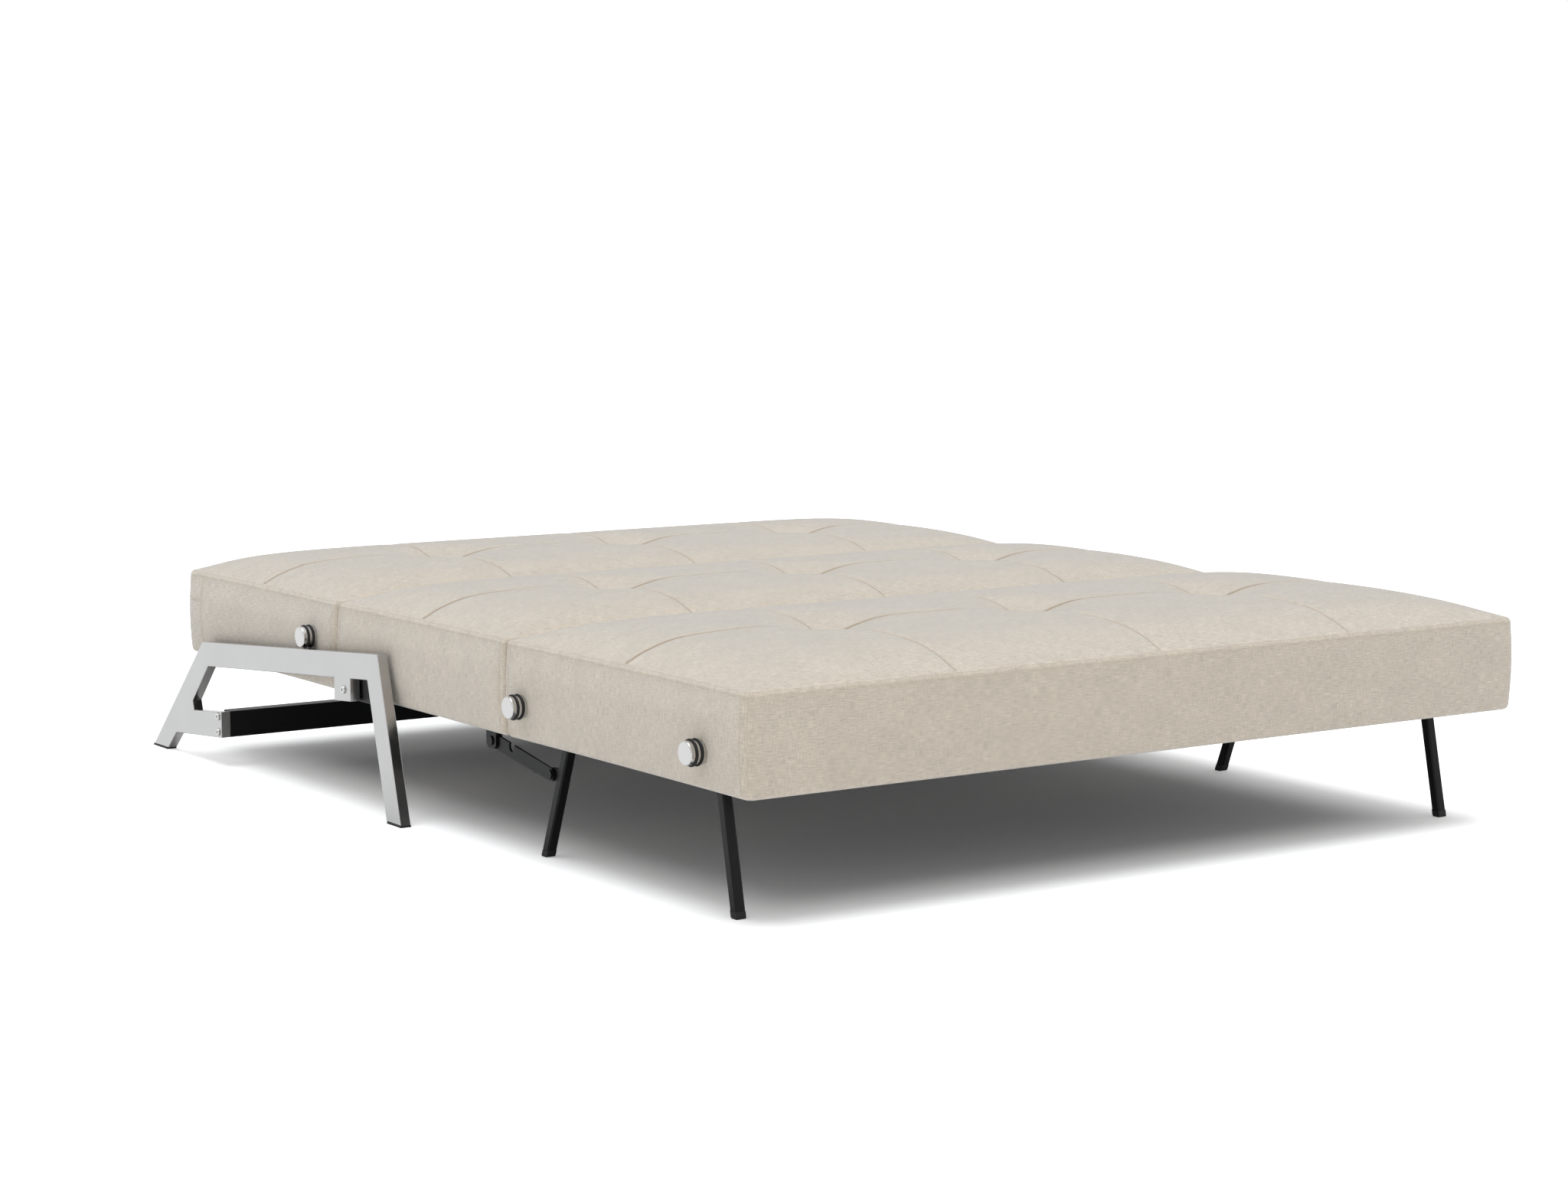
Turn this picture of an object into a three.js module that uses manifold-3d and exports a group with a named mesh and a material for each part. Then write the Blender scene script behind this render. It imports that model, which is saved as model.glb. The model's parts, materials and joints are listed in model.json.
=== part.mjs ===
// Three-section sofa bed, shown laid out flat as a bed. Millimetres, +Z up.
// X runs along the sofa's width. -Y is the foot of the bed, +Y is the front of the sofa.
// The seat section rests on two side frames. The back section turns on a bolt in each side frame and
// the foot section is hinged to it, so that it hangs behind the raised back. Folding legs carry the foot.
import * as THREE from 'three';
import { mergeVertices } from 'three/addons/utils/BufferGeometryUtils.js';
import Module from 'manifold-3d';

// Overall bed.
const bedWidth = 1600;
const footDepth = 722.5;
const backDepth = 620;
const seatDepth = 657.5;
const undersideHeight = 200;
const edgeHeight = 363;
const seatJointGap = 5;
const backJointGap = 3;
const touchGap = 0.3;
const cutOverrun = 5;

// Upholstery.
const crownHeight = 42;
const tuftSpacing = 410;
const tuftDepth = 15;
const tuftSpread = 62;
const seamDepth = 6;
const seamSpread = 9;
const sideDrawIn = 3;
const sideBulge = 4;
const endDrawIn = 1.2;
const endBulge = 2;
const cornerRadius = 18;
const coverWall = 30;
const recessDepth = 62;
const crownPowerAcrossShare = 9;
const crownPowerAlongShare = 3.4;
const crownRoundShare = 0.85;
const sideLevelShares = [0, 0.5, 1];
const gridStepsAcross = 4;
const gridStepsAlong = 4;

// Base frame in each section's recess, with sprung slats over it.
const baseTubeWidth = 25;
const baseSideTubeWidth = 16;
const baseTubeHeight = 24;
const baseClearance = 2;
const slatWidth = 64;
const slatThickness = 5;
const slatBow = 2.5;
const slatLap = 1;
const slatPitch = 150;
const slatSteps = 6;
const knobPlateThickness = 6;
const knobPlateWidth = 56;
const knobPlateRise = 24;
const dustSheetThickness = 1.5;

// Side frames, cut from thick plate.
const frameThickness = 20;
const frameSideGap = 8.5;
const frameFootToFront = 1040.3;
const frameFootSpan = 1070.7;
const frontFootWidth = 52.4;
const rearFootWidth = 66.6;
const railFrontHeight = 294.2;
const railRearHeight = 234.8;
const railFrontSet = 80.7;
const railRearSet = 247.4;
const railBand = 47;
const frontLegTopSet = 120.5;
const pivotFromJoint = 89;
const pivotHeight = 216.4;
const pivotLugLength = 63;
const pivotLugDrop = 41;
const pivotLugFrontShare = 0.4;
const beamLugReach = 322;
const beamLugHeight = 107.7;
const beamLugDepth = 50;
const beamLugFootSet = 111.5;
const beamLugFootHeight = 40;
const rearKneeSet = 195.7;
const rearKneeHeight = 114;
const rearNeckSet = 201.6;
const rearNeckHeight = 95.9;
const rearShoulderSet = 270.4;
const frameBevel = 1;
const frameFootThickness = 4;

// Cross beam between the side frames.
const beamHeight = 50;
const beamDepth = 30;
const beamWall = 2;
const beamEndPlate = 8;
const beamBoltRise = 15;
const beamBoltInset = 13;

// Bolts.
const boltRadius = 5;
const boltHoleRadius = 5.3;
const boltHeadRadius = 7.5;
const boltHeadHeight = 3;
const boltSocketRadius = 3;
const boltSocketDepth = 1.6;
const boltSegments = 12;

// Back hinge plates, bent from strip.
const hingePlateThickness = 4;
const hingePlateWidth = 90;
const hingePlateLead = 13.5;
const hingePlateTop = 243;
const hingePlateSideGap = 2.3;

// Seat glides: a stud on the seat runs on a sloping ledge inside each side frame.
const studFromJoint = 377.5;
const studRadius = 6;
const ledgeLength = 172;
const ledgeThickness = 5;
const ledgeHeight = 11;
const ledgeBelowRail = 24;
const ledgeLead = 18;

// Guide knobs with rubber rings.
const knobRadius = 18.8;
const knobLength = 29;
const knobBevel = 2.6;
const knobBackRadius = 19.6;
const knobGrooveDepth = 2.2;
const knobStemRadius = 5;
const ringRadius = 21.5;
const ringSection = 2.1;
const ringFirstSet = 11;
const ringSecondSet = 20.5;
const knobSegments = 20;
const ringSides = 4;
const seatKnobFromJoint = 88.7;
const footKnobHeight = 259;
const footKnobFromJoint = 62.5;
const footKnobSpacing = 537;

// Folding legs.
const legFromSide = 61;
const legSide = 18;
const legWall = 1.6;
const legCorner = 2.5;
const midFootFromEnd = 685.8;
const midLegSlopeShare = 0.382;
const endFootFromEnd = 113.1;
const endLegSlopeShare = 0.206;
const legCapHeight = 12;
const legCapRound = 4;
const legAxleRadius = 7;
const legAxleSegments = 12;
const midPivotFromEnd = 540;
const gussetThickness = 6;
const gussetRadius = 12;
const axleRunningGap = 0.4;

// Mid-leg links and the brackets that carry them.
const linkThickness = 4;
const linkRadius = 12.5;
const linkEndRadius = 11;
const linkTopFromJoint = 122.5;
const linkTopHeight = 174;
const linkFootFromEnd = 655;
const linkFootHeight = 143;
const linkNotchRadius = 9;
const linkNotchSet = 62;
const linkNotchDepth = 14;
const linkPinRadius = 4;
const linkPinHole = 4.3;
const linkPinHead = 8;
const linkPinHeadHeight = 2.6;
const bracketWidth = 33;
const bracketDrop = 13;
const bracketThickness = 4;
const bracketCorner = 6;

// Strap hinges between the back and foot sections.
const strapFromSide = 200;
const strapWidth = 54;
const strapThickness = 3;
const strapLength = 92;
const strapAxisDrop = 6;
const knuckleRadius = 5;
const strapPinRadius = 2.5;
const strapPinHole = 2.9;
const knuckleGap = 0.5;
const arcSegments = 8;

// Places along Y. The origin is under the middle of the whole object.
const frameRearSet = frameFootToFront + frameFootSpan;
const footEndY = -frameRearSet / 2;
const backJointY = footEndY + footDepth;
const seatJointY = backJointY + backDepth;
const seatEndY = seatJointY + seatDepth;
const frameFrontY = footEndY + frameFootToFront;
const frameRearY = frameFrontY + frameFootSpan;
const halfWidth = bedWidth / 2;
const legX = halfWidth - legFromSide;
const strapHingeX = halfWidth - strapFromSide;
const frameInnerX = halfWidth + frameSideGap;
const frameOuterX = frameInnerX + frameThickness;
const recessHalfWidth = halfWidth - coverWall;
const deckHeight = undersideHeight + recessDepth;
const baseHalfWidth = recessHalfWidth - baseClearance;
const slatSpace = slatThickness - slatLap + slatBow + touchGap;
const baseTop = deckHeight - slatSpace;
const baseBottom = baseTop - baseTubeHeight;
const pivotY = seatJointY - pivotFromJoint;
const legPivotHeight = baseBottom + baseTubeHeight / 2;
const railSlopeShare = (railFrontHeight - railRearHeight) / (frameFootSpan - railFrontSet - railRearSet);

const wasm = await Module();
wasm.setup();

// Solids.
function toSolid(geometry) {
  const bare = geometry.clone();
  bare.deleteAttribute('normal');
  bare.deleteAttribute('uv');
  const merged = mergeVertices(bare, touchGap * 1e-3);
  const triVerts = Uint32Array.from(merged.index.array);
  const vertProperties = Float32Array.from(merged.attributes.position.array);
  return new wasm.Manifold(new wasm.Mesh({ numProp: 3, vertProperties, triVerts }));
}

function toGeometry(solid) {
  const mesh = solid.getMesh();
  const geometry = new THREE.BufferGeometry();
  geometry.setAttribute('position', new THREE.Float32BufferAttribute(mesh.vertProperties, 3));
  geometry.setIndex(Array.from(mesh.triVerts));
  return geometry;
}

function join(geometries) {
  return toGeometry(geometries.map(toSolid).reduce((sum, next) => sum.add(next)));
}

function cut(geometry, cutters) {
  return toGeometry(cutters.map(toSolid).reduce((rest, next) => rest.subtract(next), toSolid(geometry)));
}

function boxBetween(x0, x1, y0, y1, z0, z1) {
  const geometry = new THREE.BoxGeometry(x1 - x0, y1 - y0, z1 - z0);
  return geometry.translate((x0 + x1) / 2, (y0 + y1) / 2, (z0 + z1) / 2);
}

// A side-view outline of (y, z) points, extruded along X between x0 and x1.
function sideExtrusion(shape, x0, x1, bevel = 0) {
  const options = { depth: x1 - x0 - 2 * bevel, bevelEnabled: bevel > 0, curveSegments: arcSegments };
  options.bevelSize = bevel;
  options.bevelThickness = bevel;
  options.bevelOffset = -bevel;
  options.bevelSegments = 1;
  const geometry = new THREE.ExtrudeGeometry(shape, options);
  geometry.translate(0, 0, bevel);
  geometry.applyMatrix4(new THREE.Matrix4().set(0, 0, 1, x0, 1, 0, 0, 0, 0, 1, 0, 0, 0, 0, 0, 1));
  return geometry;
}

// A front-view outline of (x, z) points, extruded along Y between y0 and y1.
function frontExtrusion(shape, y0, y1) {
  const options = { depth: y1 - y0, bevelEnabled: false, curveSegments: arcSegments };
  const geometry = new THREE.ExtrudeGeometry(shape, options);
  geometry.rotateX(Math.PI / 2);
  return geometry.translate(0, y1, 0);
}

function outline(points) {
  return new THREE.Shape(points.map(([a, b]) => new THREE.Vector2(a, b)));
}

function rodAlongX(radius, x0, x1, y, z, segments) {
  const geometry = new THREE.CylinderGeometry(radius, radius, x1 - x0, segments);
  geometry.rotateZ(Math.PI / 2);
  return geometry.translate((x0 + x1) / 2, y, z);
}

// A revolved profile of (radius, distance) points. The distance runs out along +X from x0.
function turnedAlongX(profile, x0, y, z, segments) {
  const geometry = new THREE.LatheGeometry(profile.map(([r, h]) => new THREE.Vector2(r, h)), segments);
  geometry.rotateZ(-Math.PI / 2);
  return geometry.translate(x0, y, z);
}

function mirrored(geometry) {
  const copy = geometry.clone().applyMatrix4(new THREE.Matrix4().makeScale(-1, 1, 1));
  const index = copy.index ? Array.from(copy.index.array) : [...Array(copy.attributes.position.count).keys()];
  for (let i = 0; i < index.length; i += 3) {
    [index[i], index[i + 1]] = [index[i + 1], index[i]];
  }
  copy.setIndex(index);
  return copy;
}

// Materials.
function finish(color, roughness, metalness) {
  return new THREE.MeshStandardMaterial({ color, roughness, metalness });
}

const upholstery = () => finish(0xd3c8b9, 0.9, 0);
const brushedPlate = () => finish(0xc9c9c9, 0.28, 1);
const polishedMetal = () => finish(0xd8d8da, 0.12, 1);
const blackPaint = () => finish(0x1b1b1c, 0.5, 0.2);
const blackPlastic = () => finish(0x141414, 0.6, 0);
const rubber = () => finish(0x0e0e0e, 0.8, 0);
const dustCloth = () => finish(0x222222, 0.95, 0);

const sofa = new THREE.Group();

function place(name, geometry, material) {
  const mesh = new THREE.Mesh(geometry, material);
  mesh.name = name;
  sofa.add(mesh);
}

function placePair(name, geometry, makeMaterial) {
  place(`${name}_right`, geometry, makeMaterial());
  place(`${name}_left`, mirrored(geometry), makeMaterial());
}

// Cushions. Each top is a grid whose lines follow the sewn seams, so that the channels keep their depth.
function bump(distance, spread) {
  return Math.exp(-((distance / spread) ** 2));
}

function crown(x, y, halfDepth) {
  const across = (1 - Math.abs(x / halfWidth) ** crownPowerAcrossShare) ** crownRoundShare;
  const along = (1 - Math.abs(y / halfDepth) ** crownPowerAlongShare) ** crownRoundShare;
  return crownHeight * across * along;
}

function sewing(x, y) {
  const tufts = [-tuftSpacing, 0, tuftSpacing];
  const nearest = Math.min(...tufts.map((t) => Math.abs(x - t)));
  const seams = Math.max(bump(nearest, seamSpread), bump(y, seamSpread));
  return seamDepth * seams + tuftDepth * bump(Math.hypot(nearest, y), tuftSpread);
}

function cushionTop(x, y, halfDepth) {
  const rise = crown(x, y, halfDepth);
  return edgeHeight + rise * (1 - Math.min(1, sewing(x, y) / crownHeight));
}

function gridLines(stops, steps) {
  const lines = [stops[0]];
  for (let i = 1; i < stops.length; i += 1) {
    const span = stops[i] - stops[i - 1];
    const near = [seamSpread, seamSpread * 3];
    const inner = span - 2 * near[1];
    lines.push(stops[i - 1] + near[0]);
    for (let k = 0; k <= steps; k += 1) {
      lines.push(stops[i - 1] + near[1] + (inner * k) / steps);
    }
    lines.push(stops[i] - near[0], stops[i]);
  }
  return lines;
}

// Rounds the upright corners and pulls the sides in a little between them.
function planPoint(x, y, halfDepth, levelShare) {
  const flat = 1 - Math.sin(Math.PI * levelShare);
  const pullX = sideBulge * flat + sideDrawIn * (1 - (y / halfDepth) ** 2);
  const pullY = endBulge * flat + endDrawIn * (1 - (x / halfWidth) ** 2);
  let dx = Math.max(0, Math.abs(x) - (halfWidth - cornerRadius));
  let dy = Math.max(0, Math.abs(y) - (halfDepth - cornerRadius));
  const reach = Math.hypot(dx, dy);
  const shrink = reach > 0 ? Math.max(dx, dy) / reach : 1;
  dx = Math.abs(x) - dx * (1 - shrink);
  dy = Math.abs(y) - dy * (1 - shrink);
  const edgeX = Math.max(0, (Math.abs(x) / halfWidth - 0.5) * 2);
  const edgeY = Math.max(0, (Math.abs(y) / halfDepth - 0.5) * 2);
  const outX = dx - pullX * edgeX;
  const outY = dy - pullY * edgeY;
  return [Math.sign(x) * outX, Math.sign(y) * outY];
}

function cushionBlock(y0, y1) {
  const halfDepth = (y1 - y0) / 2;
  const midY = (y0 + y1) / 2;
  const xs = gridLines([-halfWidth, -tuftSpacing, 0, tuftSpacing, halfWidth], gridStepsAcross);
  const ys = gridLines([-halfDepth, 0, halfDepth], gridStepsAlong);
  const points = [];
  const index = [];
  const add = (x, y, z) => points.push(x, y + midY, z) / 3 - 1;
  const quad = (a, b, c, d) => index.push(a, b, c, a, c, d);
  const top = ys.map((y) => xs.map((x) => {
    const [px, py] = planPoint(x, y, halfDepth, 1);
    return add(px, py, cushionTop(x, y, halfDepth));
  }));
  for (let j = 1; j < ys.length; j += 1) {
    for (let i = 1; i < xs.length; i += 1) {
      quad(top[j - 1][i - 1], top[j - 1][i], top[j][i], top[j][i - 1]);
    }
  }
  const rim = [];
  xs.slice(0, -1).forEach((x, i) => rim.push([x, ys[0], top[0][i]]));
  ys.slice(0, -1).forEach((y, j) => rim.push([halfWidth, y, top[j][xs.length - 1]]));
  xs.slice(1).reverse().forEach((x, i) => rim.push([x, halfDepth, top[ys.length - 1][xs.length - 1 - i]]));
  ys.slice(1).reverse().forEach((y, j) => rim.push([-halfWidth, y, top[ys.length - 1 - j][0]]));
  let upper = rim.map((entry) => entry[2]);
  [...sideLevelShares].reverse().slice(1).forEach((level) => {
    const lower = rim.map(([x, y]) => {
      const [px, py] = planPoint(x, y, halfDepth, level);
      return add(px, py, undersideHeight + (edgeHeight - undersideHeight) * level);
    });
    upper.forEach((point, k) => {
      const next = (k + 1) % upper.length;
      quad(lower[k], lower[next], upper[next], point);
    });
    upper = lower;
  });
  const middle = add(0, 0, undersideHeight);
  upper.forEach((point, k) => index.push(upper[(k + 1) % upper.length], point, middle));
  const geometry = new THREE.BufferGeometry();
  geometry.setAttribute('position', new THREE.Float32BufferAttribute(points, 3));
  geometry.setIndex(index);
  return geometry;
}

function recessBox(y0, y1) {
  const w = recessHalfWidth;
  return boxBetween(-w, w, y0 + coverWall, y1 - coverWall, undersideHeight - cutOverrun, deckHeight);
}

// The pocket for a knob's plate and the hole for its stem, on both sides.
function stemCutters(y, z, stemRadius, plateTop) {
  const innerX = recessHalfWidth - cutOverrun;
  const half = knobPlateWidth / 2 + baseClearance;
  const pocket = boxBetween(innerX - cutOverrun, recessHalfWidth + touchGap, y - half, y + half,
    deckHeight - cutOverrun, plateTop + baseClearance);
  const hole = rodAlongX(stemRadius + touchGap, innerX, halfWidth + cutOverrun, y, z, legAxleSegments);
  return [pocket, mirrored(pocket), hole, mirrored(hole)];
}

// Base frame: a ladder of square tube with an upright plate behind each knob and stud.
function baseLadder(y0, y1) {
  const yLow = y0 + coverWall + baseClearance;
  const yHigh = y1 - coverWall - baseClearance;
  const bays = [-baseHalfWidth, -tuftSpacing, tuftSpacing, baseHalfWidth];
  const block = boxBetween(-baseHalfWidth, baseHalfWidth, yLow, yHigh, baseBottom, baseTop);
  const openings = bays.slice(1).map((x, i) => {
    const left = bays[i] + (i === 0 ? baseSideTubeWidth : baseTubeWidth / 2);
    const right = x - (i === bays.length - 2 ? baseSideTubeWidth : baseTubeWidth / 2);
    return boxBetween(left, right, yLow + baseTubeWidth, yHigh - baseTubeWidth, baseBottom - cutOverrun,
      baseTop + cutOverrun);
  });
  return cut(block, openings);
}

function knobPlate(y, low, top) {
  const outer = baseHalfWidth;
  const half = knobPlateWidth / 2;
  return boxBetween(outer - knobPlateThickness, outer, y - half, y + half, low, top);
}

function slats(y0, y1) {
  const yLow = y0 + coverWall + baseClearance;
  const yHigh = y1 - coverWall - baseClearance;
  const span = yHigh - yLow;
  const bow = (share) => slatBow * Math.sin(Math.PI * share);
  const under = [];
  for (let k = 0; k <= slatSteps; k += 1) {
    under.push([yLow + (span * k) / slatSteps, baseTop - slatLap + bow(k / slatSteps)]);
  }
  const over = under.map(([y, z]) => [y, z + slatThickness]).reverse();
  const count = Math.floor((baseHalfWidth - slatWidth / 2 - knobPlateThickness) / slatPitch);
  const parts = [];
  for (let i = -count; i <= count; i += 1) {
    const x = i * slatPitch;
    parts.push(sideExtrusion(outline([...under, ...over]), x - slatWidth / 2, x + slatWidth / 2));
  }
  return parts;
}

function dustSheet(y0, y1, top) {
  const inset = coverWall + baseClearance + baseTubeWidth / 2;
  const w = linkPlaneX() - touchGap - bracketThickness - baseClearance;
  return boxBetween(-w, w, y0 + inset, y1 - inset, top - dustSheetThickness, top);
}

// Knobs: turned metal with two grooves that hold rubber rings.
function knobProfile() {
  const groove = knobRadius - knobGrooveDepth;
  const profile = [[0, knobPlateReach()], [knobStemRadius, knobPlateReach()], [knobStemRadius, touchGap],
    [knobBackRadius, touchGap]];
  [ringSecondSet, ringFirstSet].forEach((set) => {
    const low = knobLength - set - ringSection;
    const high = knobLength - set + ringSection;
    const shoulder = set === ringSecondSet ? knobBackRadius : knobRadius;
    profile.push([shoulder, low], [groove, low], [groove, high], [knobRadius, high]);
  });
  profile.push([knobRadius, knobLength - knobBevel], [knobRadius - knobBevel, knobLength], [0, knobLength]);
  return profile;
}

// The stem reaches back through the cover to the base frame's upright plate.
function knobPlateReach() {
  return baseHalfWidth - halfWidth + touchGap;
}

function knob(y, z) {
  return turnedAlongX(knobProfile(), halfWidth, y, z, knobSegments);
}

function knobRing(set, y, z) {
  const inner = knobRadius - knobGrooveDepth + touchGap;
  const middle = (inner + ringRadius) / 2;
  const rise = ringRadius - middle;
  const width = ringSection - touchGap;
  const profile = [];
  for (let k = 0; k <= ringSides; k += 1) {
    const turn = (2 * Math.PI * (k % ringSides)) / ringSides;
    profile.push([middle + rise * Math.cos(turn), width * Math.sin(turn)]);
  }
  return turnedAlongX(profile, halfWidth + knobLength - set, y, z, knobSegments);
}

function placeKnobPair(name, y, z) {
  placePair(`${name}_knob`, knob(y, z), polishedMetal);
  placePair(`${name}_knob_outer_ring`, knobRing(ringFirstSet, y, z), rubber);
  placePair(`${name}_knob_inner_ring`, knobRing(ringSecondSet, y, z), rubber);
}

function railTopAt(y) {
  return railFrontHeight - (y - frameFrontY - railFrontSet) * railSlopeShare;
}

// Side frames.
function sideFrameShape() {
  const y = (set) => frameFrontY + set;
  const back = (set) => frameRearY - set;
  const underRail = (at) => railTopAt(at) - railBand;
  const lugFront = pivotY - pivotLugLength * pivotLugFrontShare;
  const lugRear = lugFront + pivotLugLength;
  const lugDrop = pivotLugDrop;
  const legTopY = y(frontLegTopSet);
  const beamLugY = back(beamLugReach + beamBoltInset / 2);
  const foot = frameFootThickness;
  const frontLeanShare = railFrontSet / railFrontHeight;
  const rearLeanShare = railRearSet / railRearHeight;
  const rearEdgeShare = (frontLegTopSet - frontFootWidth) / underRail(legTopY);
  const shoeShare = (beamLugFootSet - rearFootWidth) / beamLugFootHeight;
  const lugBottom = beamLugHeight - beamLugDepth;
  const points = [[y(foot * frontLeanShare), foot], [y(frontFootWidth + foot * rearEdgeShare), foot],
    [legTopY, underRail(legTopY)], [lugFront, underRail(lugFront)], [lugFront, underRail(lugFront) - lugDrop],
    [lugRear, underRail(lugRear) - lugDrop], [lugRear, underRail(lugRear)],
    [back(rearShoulderSet), underRail(back(rearShoulderSet))], [back(rearKneeSet), rearKneeHeight],
    [back(rearNeckSet), rearNeckHeight], [beamLugY, beamLugHeight], [beamLugY, lugBottom],
    [back(beamLugFootSet), beamLugFootHeight], [back(rearFootWidth + foot * shoeShare), foot],
    [back(foot * rearLeanShare), foot], [back(railRearSet), railRearHeight],
    [y(railFrontSet), railFrontHeight]];
  return outline(points);
}

function beamPlace() {
  const front = frameRearY - beamLugReach - beamBoltInset / 2;
  const top = beamLugHeight;
  return { front, top, boltY: front + beamBoltInset, midZ: top - beamHeight / 2 };
}

function boltCutters() {
  const at = beamPlace();
  const hole = (y, z) => rodAlongX(boltHoleRadius, frameInnerX - cutOverrun, frameOuterX + cutOverrun, y, z,
    boltSegments);
  return [hole(pivotY, pivotHeight), hole(at.boltY, at.midZ + beamBoltRise),
    hole(at.boltY, at.midZ - beamBoltRise)];
}

function sideFrame() {
  return cut(sideExtrusion(sideFrameShape(), frameInnerX, frameOuterX, frameBevel), boltCutters());
}

function frameFoot(y0, y1) {
  return boxBetween(frameInnerX, frameOuterX, y0, y1, 0, frameFootThickness - touchGap);
}

function bolt(innerX, y, z) {
  const reach = frameOuterX - innerX;
  const head = reach + touchGap;
  const top = head + boltHeadHeight;
  const profile = [[0, 0], [boltRadius, 0], [boltRadius, head], [boltHeadRadius, head],
    [boltHeadRadius, top - frameBevel], [boltHeadRadius - frameBevel, top], [boltSocketRadius, top],
    [boltSocketRadius, top - boltSocketDepth], [0, top - boltSocketDepth]];
  return turnedAlongX(profile, innerX, y, z, boltSegments);
}

function crossBeam() {
  const at = beamPlace();
  const z0 = at.top - beamHeight;
  const end = frameInnerX - touchGap;
  const tube = boxBetween(-end, end, at.front, at.front + beamDepth, z0, at.top);
  const inside = end - beamEndPlate;
  const bore = boxBetween(-inside, inside, at.front + beamWall, at.front + beamDepth - beamWall,
    z0 + beamWall, at.top - beamWall);
  const holes = [beamBoltRise, -beamBoltRise].map((rise) => rodAlongX(boltHoleRadius, -end - cutOverrun,
    end + cutOverrun, at.boltY, at.midZ + rise, boltSegments));
  return cut(tube, [bore, ...holes]);
}

// Ledge inside each side frame, parallel to the rail, for the seat's stud.
function ledgeTopAt(y) {
  return railTopAt(y) - ledgeBelowRail;
}

function seatLedge() {
  const y0 = seatJointY + studFromJoint - ledgeLead;
  const y1 = y0 + ledgeLength;
  const shape = outline([[y0, ledgeTopAt(y0) - ledgeHeight], [y1, ledgeTopAt(y1) - ledgeHeight],
    [y1, ledgeTopAt(y1)], [y0, ledgeTopAt(y0)]]);
  return sideExtrusion(shape, frameInnerX - touchGap - ledgeThickness, frameInnerX - touchGap);
}

// Back hinge plate: a channel bent round the cover's lower edge, from the bolt to the base frame.
function hingePlate() {
  const outer = frameInnerX - hingePlateSideGap;
  const inner = recessHalfWidth - touchGap - hingePlateThickness - baseClearance;
  const t = hingePlateThickness;
  const low = undersideHeight - touchGap - t;
  const shape = outline([[inner, low], [outer, low], [outer, hingePlateTop], [outer - t, hingePlateTop],
    [outer - t, low + t], [inner + t, low + t], [inner + t, baseBottom - touchGap],
    [inner, baseBottom - touchGap]]);
  const middle = pivotY - hingePlateLead;
  const half = hingePlateWidth / 2;
  const strip = frontExtrusion(shape, middle - half, middle + half);
  const hole = rodAlongX(boltHoleRadius, outer - t - cutOverrun / 2, outer + cutOverrun / 2, pivotY,
    pivotHeight, boltSegments);
  return cut(strip, [hole]);
}

// Strap hinges between the back and foot sections. The leaf is folded under the cover's wall.
function strapAxis() {
  return { y: backJointY, z: undersideHeight - strapAxisDrop };
}

function strapLeaf(side, ownThirds) {
  const axis = strapAxis();
  const t = strapThickness;
  const wallIn = backJointGap / 2 + coverWall + 2 * touchGap;
  const low = undersideHeight - touchGap - t;
  const high = baseBottom - touchGap;
  const path = [[0, low], [wallIn + t, low], [wallIn + t, high - t], [strapLength, high - t],
    [strapLength, high], [wallIn, high], [wallIn, low + t], [0, low + t]];
  const shape = outline(path.map(([d, z]) => [axis.y + side * d, z]));
  const leaf = sideExtrusion(shape, strapHingeX - strapWidth / 2, strapHingeX + strapWidth / 2);
  const rod = (radius, k, grow) => rodAlongX(radius, strapThirdX(k) - grow, strapThirdX(k + 1) + grow, axis.y,
    axis.z, arcSegments);
  const knuckles = ownThirds.map((k) => rod(knuckleRadius, k, 0));
  const others = [0, 1, 2].filter((k) => !ownThirds.includes(k));
  return cut(join([leaf, ...knuckles]), others.map((k) => rod(knuckleRadius + knuckleGap, k, knuckleGap)));
}

function strapThirdX(k) {
  return strapHingeX - strapWidth / 2 + (k * strapWidth) / 3;
}

function strapRod(radius, grow) {
  const axis = strapAxis();
  return rodAlongX(radius, strapThirdX(0) - grow, strapThirdX(3) + grow, axis.y, axis.z, arcSegments);
}

// Legs: square tube that leans, welded to gussets on a cross axle inside the foot section.
function legAxisY(footY, slopeShare, z) {
  return footY + slopeShare * z;
}

function squareTube(side, corner, wall) {
  const half = side / 2;
  const ring = (h, c) => [[-h + c, -h], [h - c, -h], [h, -h + c], [h, h - c], [h - c, h], [-h + c, h],
    [-h, h - c], [-h, -h + c]];
  const shape = outline(ring(half, corner));
  const bore = ring(half - wall, corner - wall / 2).reverse();
  shape.holes.push(new THREE.Path(bore.map(([a, b]) => new THREE.Vector2(a, b))));
  return shape;
}

// The tube leans from its cap to its top, with its lower end cut level.
function legTube(footY, slopeShare) {
  const lean = Math.atan(slopeShare);
  const length = legTopHeight() / Math.cos(lean);
  const options = { depth: length, bevelEnabled: false };
  const tube = new THREE.ExtrudeGeometry(squareTube(legSide, legCorner, legWall), options);
  tube.rotateX(-lean);
  tube.translate(legX, footY, 0);
  const reach = legSide * 2;
  const below = boxBetween(legX - reach, legX + reach, footY - reach, footY + reach, -reach,
    legCapHeight + touchGap);
  return cut(tube, [below]);
}

function legTopHeight() {
  return legPivotHeight + legAxleRadius;
}

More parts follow.
